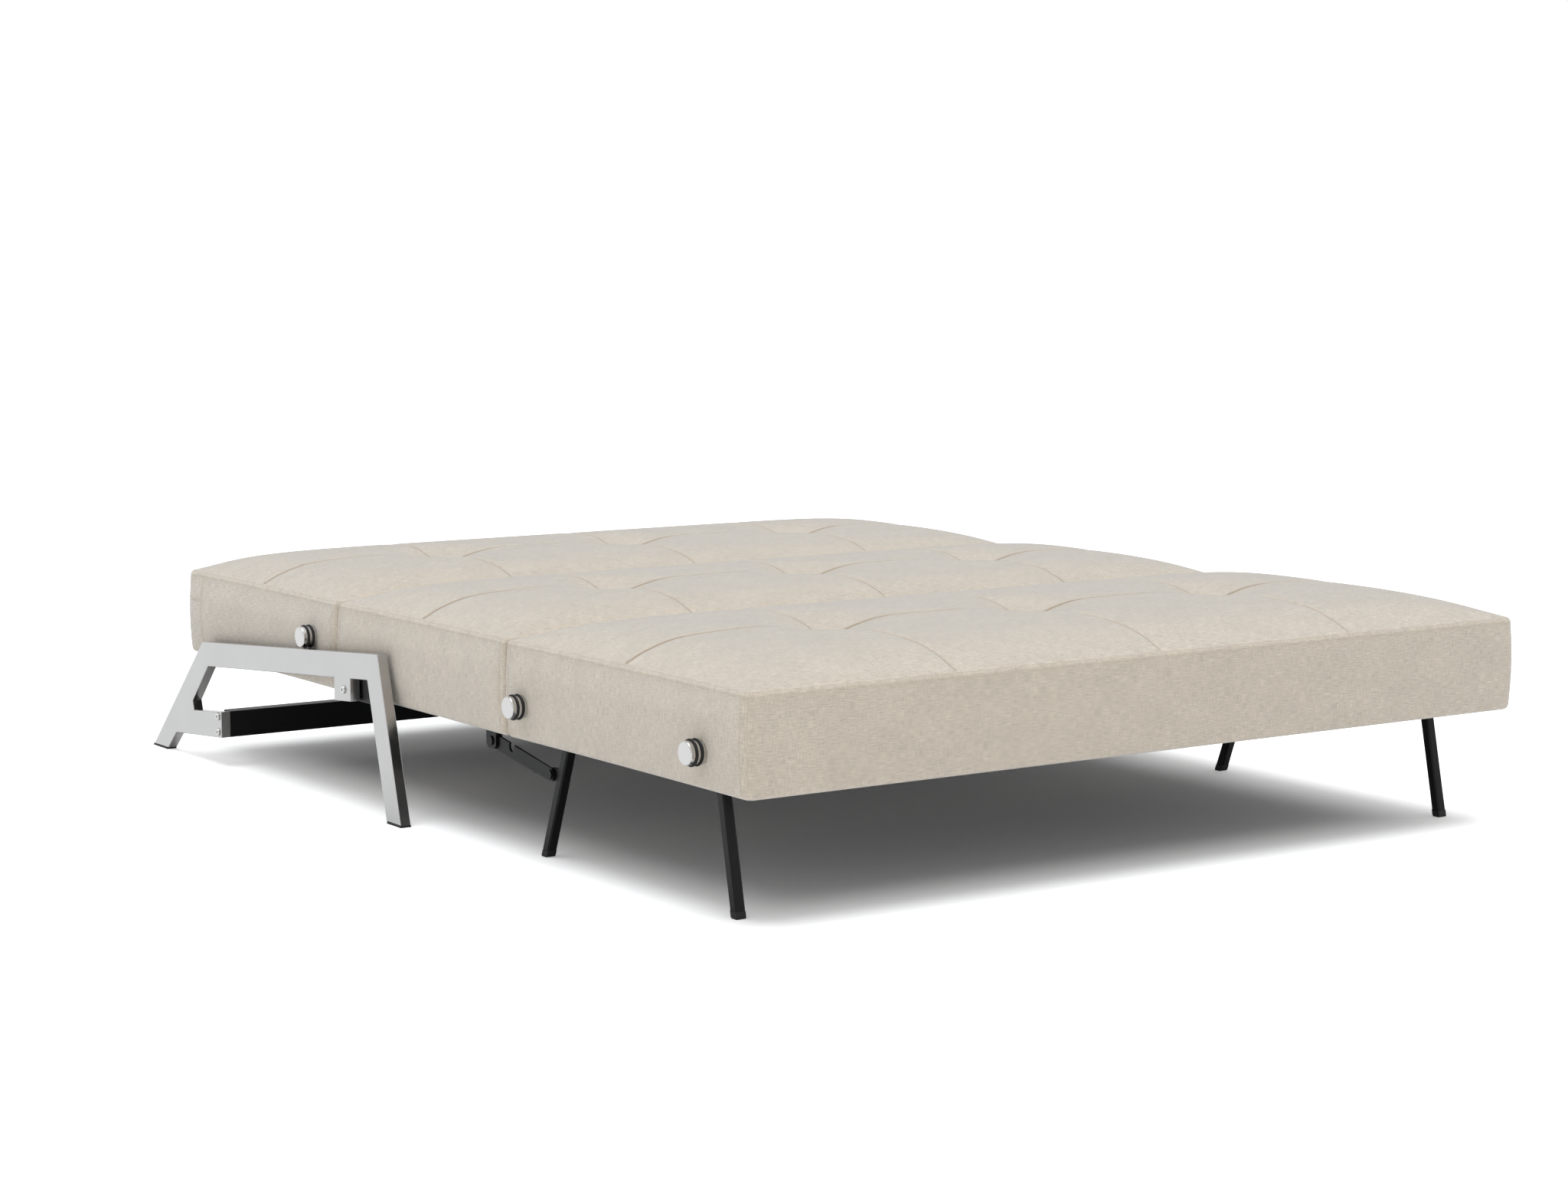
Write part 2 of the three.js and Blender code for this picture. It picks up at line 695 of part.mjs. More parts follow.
// A moulded foot with rounded lower edges that closes the tube's end.
function legCap(footY, slopeShare) {
  const half = legSide / 2;
  const lean = slopeShare * legCapHeight;
  const r = legCapRound;
  const shape = new THREE.Shape();
  shape.moveTo(footY - half + r, 0);
  shape.lineTo(footY + half - r, 0);
  shape.quadraticCurveTo(footY + half, 0, footY + half + slopeShare * r, r);
  shape.lineTo(footY + half + lean, legCapHeight);
  shape.lineTo(footY - half + lean, legCapHeight);
  shape.lineTo(footY - half + slopeShare * r, r);
  shape.quadraticCurveTo(footY - half, 0, footY - half + r, 0);
  return sideExtrusion(shape, legX - half, legX + half, frameBevel);
}

function gusset(pivotYAt, pivotZ, legY, innerX) {
  const r = gussetRadius;
  const low = pivotZ - r;
  const shape = new THREE.Shape();
  const away = Math.sign(legY - pivotYAt) || 1;
  const start = away > 0 ? Math.PI / 2 : -Math.PI / 2;
  shape.absarc(pivotYAt, pivotZ, r, start, start + Math.PI, false);
  if (away > 0) {
    shape.lineTo(legY, low);
    shape.lineTo(legY, pivotZ + r);
  } else {
    shape.lineTo(legY, pivotZ + r);
    shape.lineTo(legY, low);
  }
  return sideExtrusion(shape, innerX, innerX + gussetThickness);
}

function legAxle(pivotYAt) {
  return rodAlongX(legAxleRadius, -legX, legX, pivotYAt, legPivotHeight, legAxleSegments);
}

// Two legs and their gussets, welded to the axle that crosses the section.
function legFrame(footY, slopeShare, pivotYAt, extras) {
  const topY = legAxisY(footY, slopeShare, legPivotHeight);
  const arm = gusset(pivotYAt, legPivotHeight, topY, legX - legSide / 2);
  const side = [legTube(footY, slopeShare), arm, ...extras];
  return join([...side, ...side.map(mirrored), legAxle(pivotYAt)]);
}

// The axles turn in bores through the base frame's stringers.
function axleBore(y) {
  const end = tuftSpacing + baseTubeWidth;
  return rodAlongX(legAxleRadius + axleRunningGap, -end, end, y, legPivotHeight, legAxleSegments);
}

// Link bars that draw the mid legs in as the foot section folds.
function linkEnds() {
  return { topY: backJointY + linkTopFromJoint, topZ: linkTopHeight, footY: footEndY + linkFootFromEnd,
    footZ: linkFootHeight };
}

function linkBar() {
  const at = linkEnds();
  const length = Math.hypot(at.footY - at.topY, at.footZ - at.topZ);
  const angle = Math.atan2(at.footZ - at.topZ, at.footY - at.topY);
  const shape = new THREE.Shape();
  shape.absarc(0, 0, linkRadius, Math.PI / 2, (3 * Math.PI) / 2, false);
  shape.lineTo(length, -linkEndRadius);
  shape.absarc(length, 0, linkEndRadius, -Math.PI / 2, Math.PI / 2, false);
  shape.lineTo(0, linkRadius);
  const x0 = linkPlaneX();
  const bar = sideExtrusion(shape, x0, x0 + linkThickness);
  const notchZ = -linkRadius - linkNotchRadius + linkNotchDepth;
  const span = [x0 - cutOverrun, x0 + linkThickness + cutOverrun];
  const notch = rodAlongX(linkNotchRadius, ...span, linkNotchSet, notchZ, boltSegments);
  const hole = rodAlongX(linkPinHole, ...span, 0, 0, legAxleSegments);
  const rivet = rodAlongX(linkPinHead, x0 + linkThickness / 2, x0 + linkThickness + linkPinHeadHeight, length,
    0, legAxleSegments);
  const bored = join([cut(bar, [notch, hole]), rivet]);
  bored.rotateX(angle);
  return bored.translate(0, at.topY, at.topZ);
}

function linkPlaneX() {
  return legX + legSide / 2 + touchGap;
}

// The lug on the rear of the mid leg that the link's lower end turns against.
function linkLug() {
  const at = linkEnds();
  const outer = linkPlaneX() - touchGap;
  const legY = legAxisY(footEndY + midFootFromEnd, -midLegSlopeShare, at.footZ);
  const shape = new THREE.Shape();
  shape.absarc(at.footY, at.footZ, linkEndRadius, -Math.PI / 2, Math.PI / 2, false);
  shape.lineTo(legY, at.footZ + linkEndRadius);
  shape.lineTo(legY, at.footZ - linkEndRadius);
  return sideExtrusion(shape, outer - gussetThickness, outer);
}

// U bracket under the back section's base frame, with its pin.
function linkBracket() {
  const at = linkEnds();
  const half = bracketWidth / 2;
  const c = bracketCorner;
  const low = at.topZ - bracketDrop;
  const high = baseBottom - touchGap;
  const y = at.topY;
  const cheek = outline([[y - half, high], [y - half, low + c], [y - half + c, low], [y + half - c, low],
    [y + half, low + c], [y + half, high]]);
  const t = bracketThickness;
  const x0 = linkPlaneX() - touchGap - t;
  const x1 = linkPlaneX() + linkThickness + touchGap + t;
  const inner = sideExtrusion(cheek, x0, x0 + t);
  const outer = sideExtrusion(cheek, x1 - t, x1);
  const web = boxBetween(x0, x1, y - half, y + half, high - t, high);
  const head = linkPinHeadHeight;
  const pin = rodAlongX(linkPinRadius, x0, x1 + head, y, at.topZ, legAxleSegments);
  const cap = rodAlongX(linkPinHead, x1 - head, x1 + head, y, at.topZ, legAxleSegments);
  return join([inner, outer, web, pin, cap]);
}

// Seat section.
const seatStart = seatJointY + seatJointGap / 2;
const seatKnobY = seatJointY + seatKnobFromJoint;
const seatKnobZ = railTopAt(seatKnobY) + (ringRadius + touchGap) * Math.hypot(1, railSlopeShare);
const studY = seatJointY + studFromJoint;
const studZ = ledgeTopAt(studY) + (studRadius + touchGap) * Math.hypot(1, railSlopeShare);

function seatStud() {
  const inner = baseHalfWidth - knobPlateThickness;
  return rodAlongX(studRadius, inner, frameInnerX - touchGap * 3, studY, studZ, legAxleSegments);
}

function buildSeat() {
  const plateTop = seatKnobZ + knobPlateRise;
  const studHole = rodAlongX(studRadius + touchGap, recessHalfWidth - cutOverrun, halfWidth + cutOverrun,
    studY, studZ, legAxleSegments);
  const hollows = [recessBox(seatStart, seatEndY), studHole, mirrored(studHole),
    ...stemCutters(seatKnobY, seatKnobZ, knobStemRadius, plateTop)];
  place('seat_cushion', cut(cushionBlock(seatStart, seatEndY), hollows), upholstery());
  const studPlate = knobPlate(studY, studZ - 2 * studRadius, baseTop);
  const welded = [knobPlate(seatKnobY, baseBottom, plateTop), studPlate, seatStud()];
  place('seat_base_frame', join([baseLadder(seatStart, seatEndY), ...slats(seatStart, seatEndY), ...welded,
    ...welded.map(mirrored)]), blackPaint());
  place('seat_dust_sheet', dustSheet(seatStart, seatEndY, baseBottom - touchGap), dustCloth());
  placeKnobPair('seat', seatKnobY, seatKnobZ);
}

// Back section.
function buildBack() {
  const y0 = backJointY + backJointGap / 2;
  const y1 = seatJointY - seatJointGap / 2;
  place('back_cushion', cut(cushionBlock(y0, y1), [recessBox(y0, y1)]), upholstery());
  place('back_base_frame', join([baseLadder(y0, y1), ...slats(y0, y1)]), blackPaint());
  place('back_dust_sheet', dustSheet(y0, y1, baseBottom - strapThickness - 2 * touchGap), dustCloth());
  placePair('back_hinge_plate', hingePlate(), blackPaint);
  placePair('link_bracket', linkBracket(), blackPaint);
  placePair('strap_hinge_back_leaf', join([strapLeaf(1, [0, 2]), strapRod(strapPinRadius, 0)]), blackPaint);
}

// Foot section.
function buildFoot() {
  const y1 = backJointY - backJointGap / 2;
  const knobYs = [backJointY - footKnobFromJoint, backJointY - footKnobFromJoint - footKnobSpacing];
  const plateTop = footKnobHeight + knobPlateRise;
  const cutters = knobYs.flatMap((y) => stemCutters(y, footKnobHeight, knobStemRadius, plateTop));
  place('foot_cushion', cut(cushionBlock(footEndY, y1), [recessBox(footEndY, y1), ...cutters]), upholstery());
  const plates = knobYs.map((y) => knobPlate(y, baseBottom, plateTop));
  const ladder = join([baseLadder(footEndY, y1), ...plates, ...plates.map(mirrored), ...slats(footEndY, y1)]);
  const midPivotY = footEndY + midPivotFromEnd;
  const endPivotY = legAxisY(footEndY + endFootFromEnd, endLegSlopeShare, legPivotHeight);
  place('foot_base_frame', cut(ladder, [axleBore(midPivotY), axleBore(endPivotY)]), blackPaint());
  placeKnobPair('foot_inner', knobYs[0], footKnobHeight);
  placeKnobPair('foot_outer', knobYs[1], footKnobHeight);
  const leaf = cut(strapLeaf(-1, [1]), [strapRod(strapPinHole, cutOverrun)]);
  placePair('strap_hinge_foot_leaf', leaf, blackPaint);
  buildMidLegs(midPivotY);
  buildEndLegs(endPivotY);
}

function buildMidLegs(pivotAt) {
  const footY = footEndY + midFootFromEnd;
  place('mid_leg_frame', legFrame(footY, -midLegSlopeShare, pivotAt, [linkLug()]), blackPaint());
  placePair('mid_leg_cap', legCap(footY, -midLegSlopeShare), blackPlastic);
  placePair('link_bar', linkBar(), blackPaint);
}

function buildEndLegs(pivotAt) {
  const footY = footEndY + endFootFromEnd;
  place('end_leg_frame', legFrame(footY, endLegSlopeShare, pivotAt, []), blackPaint());
  placePair('end_leg_cap', legCap(footY, endLegSlopeShare), blackPlastic);
}

// Side frames, cross beam and bolts.
function buildFrames() {
  const at = beamPlace();
  placePair('side_frame', sideFrame(), brushedPlate);
  placePair('frame_front_foot', frameFoot(frameFrontY, frameFrontY + frontFootWidth), blackPlastic);
  placePair('frame_rear_foot', frameFoot(frameRearY - rearFootWidth, frameRearY), blackPlastic);
  place('cross_beam', crossBeam(), blackPaint());
  const plateInner = frameInnerX - hingePlateSideGap - hingePlateThickness;
  placePair('back_pivot_bolt', bolt(plateInner, pivotY, pivotHeight), polishedMetal);
  const inner = frameInnerX - beamBoltInset;
  placePair('beam_upper_bolt', bolt(inner, at.boltY, at.midZ + beamBoltRise), polishedMetal);
  placePair('beam_lower_bolt', bolt(inner, at.boltY, at.midZ - beamBoltRise), polishedMetal);
  placePair('seat_ledge', seatLedge(), blackPaint);
}

buildFrames();
buildSeat();
buildBack();
buildFoot();

export default sofa;
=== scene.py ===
"""A sofa bed laid out flat: tufted cushions, metal side frames and folding black legs. Metres, +Z up."""

import json
import math

import bpy
import numpy as np
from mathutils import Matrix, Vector


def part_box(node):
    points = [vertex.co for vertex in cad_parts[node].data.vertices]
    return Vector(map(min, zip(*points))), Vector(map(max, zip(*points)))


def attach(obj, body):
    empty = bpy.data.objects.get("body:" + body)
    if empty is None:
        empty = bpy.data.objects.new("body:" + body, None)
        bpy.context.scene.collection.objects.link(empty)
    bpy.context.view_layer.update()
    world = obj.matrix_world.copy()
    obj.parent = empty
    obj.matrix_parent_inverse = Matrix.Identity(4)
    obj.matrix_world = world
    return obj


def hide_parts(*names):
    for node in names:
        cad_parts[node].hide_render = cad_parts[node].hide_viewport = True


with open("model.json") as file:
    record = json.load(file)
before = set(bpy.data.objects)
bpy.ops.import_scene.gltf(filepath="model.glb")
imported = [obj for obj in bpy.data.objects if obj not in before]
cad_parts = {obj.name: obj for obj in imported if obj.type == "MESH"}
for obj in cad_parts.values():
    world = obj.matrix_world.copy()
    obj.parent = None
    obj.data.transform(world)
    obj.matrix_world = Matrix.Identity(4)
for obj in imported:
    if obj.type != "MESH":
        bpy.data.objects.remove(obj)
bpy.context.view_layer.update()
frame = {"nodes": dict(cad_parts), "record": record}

MM = 0.001

# Places closer together than the first count as one. The second keeps a division from zero.
SAME_PLACE = 1e-6
TINY = 1e-9

# Camera of the photograph, in the part's own frame.
CAMERA_PLACE = (-3.3285, -4.8867, 1.0466)
CAMERA_YAW = 0.5954
CAMERA_PITCH = 0.1179
CAMERA_LENS = 73.34
CAMERA_SENSOR = 36.0
CAMERA_SIGHT = 200.0

# Cushions, with the sizes of the part's source.
HALF_WIDTH = 800 * MM
UNDERSIDE = 200 * MM
EDGE_HEIGHT = 363 * MM
CROWN = 42 * MM
CROWN_POWER_ACROSS = 9
CROWN_POWER_ALONG = 3.4
CROWN_ROUND = 0.7
TUFTS = (-410 * MM, 0.0, 410 * MM)
TUFT_DEPTH = 23 * MM
TUFT_SPREAD = 66 * MM
TUFT_PIT_DEPTH = 6 * MM
TUFT_PIT_SPREAD = 15 * MM
CHANNEL_DEPTH = 2.6 * MM
CHANNEL_SPREAD = 8 * MM
CREASE_DEPTH = 1.8 * MM
CREASE_SPREAD = 2.2 * MM
EDGE_ROUND = 10 * MM
EDGE_ROUND_FADE = 40 * MM
SIDE_GROOVE = 0.45 * MM
SIDE_DRAW_IN = 3 * MM
SIDE_BULGE = 4 * MM
END_DRAW_IN = 1.2 * MM
END_BULGE = 2 * MM
CORNER_RADIUS = 18 * MM
JOINT_CORNER_RADIUS = 8 * MM
JOINT_CLEARANCE = 0.05 * MM
HEM_RADIUS = 9 * MM
RIM_WIDTH = 30 * MM
DECK_HEIGHT = 262 * MM
EDGE_SEAM_DROP = 2.6 * MM
EDGE_STITCH_DROP = 8.5 * MM
STITCH_FROM_SEAM = 5 * MM
GRID_PITCH = 19 * MM
SEAM_STEPS = (0.8 * MM, 2.2 * MM, 5 * MM, 10 * MM, 18 * MM)
RIM_STEPS = (1.5 * MM, 4.5 * MM, 9 * MM, 13.5 * MM, 18 * MM)
CLOSEST_LINES = 0.6 * MM

# Sewn seams: how wide each groove and its painted shade are, how dark that shade is, and where seams run.
GROOVE_SPREAD = 1.0 * MM
TUFT_LINE_SHADE = 0.6
TUFT_LINE_SPREAD = 1.5 * MM
MID_LINE_SPREAD = 3.3 * MM
EDGE_SEAM_SHADE = 0.25
EDGE_SEAM_REACH = 6 * MM
SIDE_SEAM_SHADE = 0.3
END_SEAM_HEIGHT = 305 * MM
END_STITCH_HEIGHT = 310.5 * MM
JOINT_SEAM_INSET = 11 * MM
END_SEAM_INSET = 70 * MM
NEAR_SEAM = 1 * MM
TOLERANCE = 0.1 * MM

# How squarely a side point has to face outwards to count as on a side, or as on a joint face.
FACES_SIDE = 0.99
FACES_JOINT = 0.9

# Swelling of the covers.
SWELL_PITCH = 26 * MM
SWELL_LEVELS = 8
SWELL_START_SHARE = 0.94
SWELL_FRAMES = 20
SWELL_PRESSURE = 4.0
SWELL_CAP = 3.5 * MM
SWELL_SIDE_CAP = 2.5 * MM
SWELL_SEAM_HOLD = 0.25
SWELL_FREE_SHARES = (0.15, 0.9)
SWELL_HELD_FACING = 0.5
SWELL_LEAST_HOLD = 0.01


# Small helpers


def srgb(text):
    """The linear colour of an sRGB hex value."""
    made = []
    for place in (0, 2, 4):
        value = int(text[place:place + 2], 16) / 255
        made.append(value / 12.92 if value <= 0.04045 else ((value + 0.055) / 1.055) ** 2.4)
    return (*made, 1.0)


def add(tree, kind, inputs=None, **settings):
    """Adds one node. Each input gets a value, or a link where it is another node's output."""
    made = tree.nodes.new(kind)
    for name, value in settings.items():
        setattr(made, name, value)
    for socket, value in (inputs or {}).items():
        if isinstance(value, bpy.types.NodeSocket):
            tree.links.new(value, made.inputs[socket])
        else:
            made.inputs[socket].default_value = value
    return made


def new_material(name):
    """A material and its empty node tree."""
    made = bpy.data.materials.new(name)
    made.use_nodes = True
    made.node_tree.nodes.clear()
    return made, made.node_tree


def new_object(name, points, faces):
    """A mesh object at the origin, with its place in its points."""
    mesh = bpy.data.meshes.new(name)
    mesh.from_pydata([tuple(p) for p in points], [], [tuple(f) for f in faces])
    mesh.update()
    made = bpy.data.objects.new(name, mesh)
    bpy.context.scene.collection.objects.link(made)
    return made


def smooth(made, angle=35):
    """Smooth shading, with edges sharper than the angle kept crisp."""
    made.data.shade_smooth()
    made.data.set_sharp_from_angle(angle=math.radians(angle))


def bell(distance, spread):
    """A smooth hump: one at no distance, and hardly anything from twice the spread."""
    return np.exp(-((distance / spread) ** 2))


# Camera and studio


def make_camera():
    """The photograph's camera."""
    camera = bpy.data.objects.new("camera", bpy.data.cameras.new("camera"))
    camera.location = CAMERA_PLACE
    camera.rotation_euler = (math.pi / 2 - CAMERA_PITCH, 0, -CAMERA_YAW)
    camera.data.lens = CAMERA_LENS
    camera.data.sensor_width = CAMERA_SENSOR
    camera.data.clip_end = CAMERA_SIGHT
    bpy.context.scene.collection.objects.link(camera)
    bpy.context.scene.camera = camera


WORLD_LIGHT = 0.59
SUN_LIGHT = 2.05
SUN_COLOUR = (0.94, 0.97, 1.0)
SUN_SPREAD = math.radians(42)
SUN_TRAVEL = (0.09, 0.03, -0.98)
FLOOR_REACH = 60.0

# The camera sees the floor lifted towards white by a painted glow, strongest outside a box around the shadow,
# as in the photograph.
FLOOR_DARK_HALF_WIDTH = 0.66
FLOOR_DARK_HALF_LENGTH = 0.92
FLOOR_CORNER_SOFTNESS = 0.12
FLOOR_FADE_START = -0.1
FLOOR_FADE = 0.22
FLOOR_LEAST_LIFT = 0.04
FLOOR_LIFT = 0.5


def seen_rays(tree):
    """One where a camera, glossy or transmission ray asks, and zero for the rays that light the object."""
    path = add(tree, "ShaderNodeLightPath")
    glossy = add(tree, "ShaderNodeMath", {0: path.outputs["Is Camera Ray"], 1: path.outputs["Is Glossy Ray"]},
                 operation="MAXIMUM")
    return add(tree, "ShaderNodeMath", {0: glossy.outputs[0], 1: path.outputs["Is Transmission Ray"]},
               operation="MAXIMUM").outputs[0]


def make_studio():
    """A white sky, a soft overhead light and a floor of white paper with a painted glow round the shadow."""
    world = bpy.data.worlds.new("white studio")
    world.use_nodes = True
    bpy.context.scene.world = world
    tree = world.node_tree
    tree.nodes.clear()
    light = add(tree, "ShaderNodeBackground", {"Color": srgb("ffffff"), "Strength": WORLD_LIGHT})
    seen = add(tree, "ShaderNodeBackground", {"Color": srgb("ffffff"), "Strength": 1.0})
    both = add(tree, "ShaderNodeMixShader", {0: seen_rays(tree), 1: light.outputs[0], 2: seen.outputs[0]})
    add(tree, "ShaderNodeOutputWorld", {"Surface": both.outputs[0]})

    sun = bpy.data.objects.new("soft_overhead_light", bpy.data.lights.new("soft_overhead_light", "SUN"))
    sun.data.energy = SUN_LIGHT
    sun.data.color = SUN_COLOUR
    sun.data.angle = SUN_SPREAD
    sun.rotation_euler = Vector(SUN_TRAVEL).to_track_quat("-Z", "Y").to_euler()
    bpy.context.scene.collection.objects.link(sun)

    reach = FLOOR_REACH
    floor = new_object("studio_floor", [(-reach, -reach, 0), (reach, -reach, 0), (reach, reach, 0),
                                        (-reach, reach, 0)], [(0, 1, 2, 3)])
    matt, tree = new_material("white studio paper with painted glow")
    paper = add(tree, "ShaderNodeBsdfDiffuse", {"Color": srgb("fcfcfc")})
    # Painted light: a glow for camera rays, faint inside the box and up to FLOOR_LIFT outside it, whitens the
    # floor's soft shadow there.
    glow = add(tree, "ShaderNodeEmission", {"Color": srgb("ffffff")})
    place = add(tree, "ShaderNodeSeparateXYZ", {0: add(tree, "ShaderNodeTexCoord").outputs["Object"]})
    past = []
    for axis, half in (("X", FLOOR_DARK_HALF_WIDTH), ("Y", FLOOR_DARK_HALF_LENGTH)):
        away = add(tree, "ShaderNodeMath", {0: place.outputs[axis]}, operation="ABSOLUTE")
        past.append(add(tree, "ShaderNodeMath", {0: away.outputs[0], 1: half}, operation="SUBTRACT"))
    outside = add(tree, "ShaderNodeMath", {0: past[0].outputs[0], 1: past[1].outputs[0],
                                           2: FLOOR_CORNER_SOFTNESS}, operation="SMOOTH_MAX")
    lift = add(tree, "ShaderNodeMapRange", {0: outside.outputs[0], 1: FLOOR_FADE_START, 2: FLOOR_FADE,
                                            3: FLOOR_LEAST_LIFT, 4: FLOOR_LIFT},
               interpolation_type="SMOOTHSTEP")
    path = add(tree, "ShaderNodeLightPath")
    faint = add(tree, "ShaderNodeMath", {0: path.outputs["Is Camera Ray"], 1: lift.outputs[0]},
                operation="MULTIPLY")
    tree.links.new(faint.outputs[0], glow.inputs["Strength"])
    lit = add(tree, "ShaderNodeAddShader", {0: paper.outputs[0], 1: glow.outputs[0]})
    add(tree, "ShaderNodeOutputMaterial", {"Surface": lit.outputs[0]})
    floor.data.materials.append(matt)
    bpy.context.scene.view_settings.view_transform = "Standard"


# Materials


# How far each pattern of the weave reaches, along the slubs and across them. The real threads are about 1 mm
# apart, and are drawn coarser so that they show.
WEAVE_SIZES = {"threads": (1.8 * MM, 1.8 * MM), "slubs": (18.2 * MM, 1.25 * MM),
               "cross_threads": (1.43 * MM, 16.7 * MM), "dye_drift": (83 * MM, 45.5 * MM)}
WEAVE_HEIGHT = 0.5 * MM


def linen_weave():
    """Linen-look blend in plain weave: pale flax warp, warm tan weft, uneven threads. Matt, faintly fuzzy."""
    made, tree = new_material("linen look plain weave")
    place = add(tree, "ShaderNodeUVMap", uv_map="cloth").outputs[0]
    laid = {}
    for pattern, (along, across) in WEAVE_SIZES.items():
        sized = add(tree, "ShaderNodeMapping", {"Vector": place, "Scale": (1 / along, 1 / across, 1)})
        laid[pattern] = sized.outputs[0]
    cells = add(tree, "ShaderNodeSeparateXYZ", {0: laid["threads"]})
    ridges = []
    steps = []
    for axis in ("X", "Y"):
        step = add(tree, "ShaderNodeMath", {0: cells.outputs[axis]}, operation="FLOOR")
        part = add(tree, "ShaderNodeMath", {0: cells.outputs[axis]}, operation="FRACT")
        angle = add(tree, "ShaderNodeMath", {0: part.outputs[0], 1: math.pi}, operation="MULTIPLY")
        ridges.append(add(tree, "ShaderNodeMath", {0: angle.outputs[0]}, operation="SINE").outputs[0])
        steps.append(step.outputs[0])
    total = add(tree, "ShaderNodeMath", {0: steps[0], 1: steps[1]}, operation="ADD")
    over = add(tree, "ShaderNodeMath", {0: total.outputs[0], 1: 2.0}, operation="FLOORED_MODULO").outputs[0]
    thread = add(tree, "ShaderNodeMix", {0: over, 2: ridges[1], 3: ridges[0]}, data_type="FLOAT")

    slubs = add(tree, "ShaderNodeTexNoise", {"Vector": laid["slubs"], "Scale": 1.0, "Detail": 3.0,
                                             "Roughness": 0.6})
    cross = add(tree, "ShaderNodeTexNoise", {"Vector": laid["cross_threads"], "Scale": 1.0,
                                             "Detail": 2.0, "Roughness": 0.6})
    drift = add(tree, "ShaderNodeTexNoise", {"Vector": laid["dye_drift"], "Scale": 1.0, "Detail": 2.0})
    slub_tone = add(tree, "ShaderNodeMapRange", {0: slubs.outputs[0], 1: 0.34, 2: 0.68, 3: 0.8, 4: 1.11})
    cross_tone = add(tree, "ShaderNodeMapRange", {0: cross.outputs[0], 1: 0.34, 2: 0.68, 3: 0.88, 4: 1.06})
    drift_tone = add(tree, "ShaderNodeMapRange", {0: drift.outputs[0], 1: 0.3, 2: 0.7, 3: 0.965, 4: 1.03})
    tone = add(tree, "ShaderNodeMath", {0: slub_tone.outputs[0], 1: cross_tone.outputs[0]},
               operation="MULTIPLY")
    tone = add(tree, "ShaderNodeMath", {0: tone.outputs[0], 1: drift_tone.outputs[0]}, operation="MULTIPLY")

    fibres = add(tree, "ShaderNodeMix", {0: over, 6: srgb("dcd3c7"), 7: srgb("cebfa9")}, data_type="RGBA")
    toned = add(tree, "ShaderNodeVectorMath", {0: fibres.outputs[2]}, operation="SCALE")
    tree.links.new(tone.outputs[0], toned.inputs["Scale"])
    # Painted shade along the seams: the cloth's colour is mixed towards a darker tan, 9c8467, as far as
    # seam_shade asks.
    seam = add(tree, "ShaderNodeAttribute", attribute_name="seam_shade")
    depth = add(tree, "ShaderNodeMath", {0: seam.outputs["Fac"], 1: 0.95}, operation="MULTIPLY",
                use_clamp=True)
    colour = add(tree, "ShaderNodeMix", {0: depth.outputs[0], 6: toned.outputs[0], 7: srgb("9c8467")},
                 data_type="RGBA")
    matt = add(tree, "ShaderNodeMapRange", {0: thread.outputs[0], 3: 0.94, 4: 0.8})
    raised = add(tree, "ShaderNodeMath", {0: slubs.outputs[0], 1: 0.7, 2: thread.outputs[0]},
                 operation="MULTIPLY_ADD")
    bump = add(tree, "ShaderNodeBump", {"Strength": 0.5, "Distance": WEAVE_HEIGHT,
                                        "Height": raised.outputs[0]})
    cloth = add(tree, "ShaderNodeBsdfPrincipled", {
        "Base Color": colour.outputs[2], "Roughness": matt.outputs[0], "Normal": bump.outputs[0],
        "Sheen Weight": 0.58, "Sheen Roughness": 0.4, "Sheen Tint": srgb("d9ecff"),
        "Specular IOR Level": 0.2})
    add(tree, "ShaderNodeOutputMaterial", {"Surface": cloth.outputs[0]})
    return made


# Hard finishes: how far a patch of slightly different colour reaches.
WEAR_SIZE = 71.4 * MM


def grained(name, colour, worn, metallic, roughness, spread, grain, lift, shine=0.5, scale=(1, 1, 1)):
    """A hard or rubbery finish: two close colours, a varied roughness and a grain of that real width."""
    made, tree = new_material(name)
    place = add(tree, "ShaderNodeTexCoord").outputs["Object"]
    drawn = add(tree, "ShaderNodeMapping", {"Vector": place, "Scale": scale})
    fine = add(tree, "ShaderNodeTexNoise", {"Vector": drawn.outputs[0], "Scale": 1 / grain, "Detail": 2.0,
                                            "Roughness": 0.55})
    broad = add(tree, "ShaderNodeTexNoise", {"Vector": place, "Scale": 1 / WEAR_SIZE, "Detail": 3.0})
    tint = add(tree, "ShaderNodeMix", {0: broad.outputs[0], 6: srgb(colour), 7: srgb(worn)}, data_type="RGBA")
    mixed = add(tree, "ShaderNodeMath", {0: fine.outputs[0], 1: broad.outputs[0]}, operation="ADD")
    rough = add(tree, "ShaderNodeMapRange", {0: mixed.outputs[0], 1: 0.6, 2: 1.4, 3: roughness - spread,
                                             4: roughness + spread})
    bump = add(tree, "ShaderNodeBump", {"Strength": 0.35, "Distance": lift, "Height": fine.outputs[0]})
    shader = add(tree, "ShaderNodeBsdfPrincipled", {
        "Base Color": tint.outputs[2], "Metallic": metallic, "Roughness": rough.outputs[0],
        "Normal": bump.outputs[0], "Specular IOR Level": shine})
    add(tree, "ShaderNodeOutputMaterial", {"Surface": shader.outputs[0]})
    return made


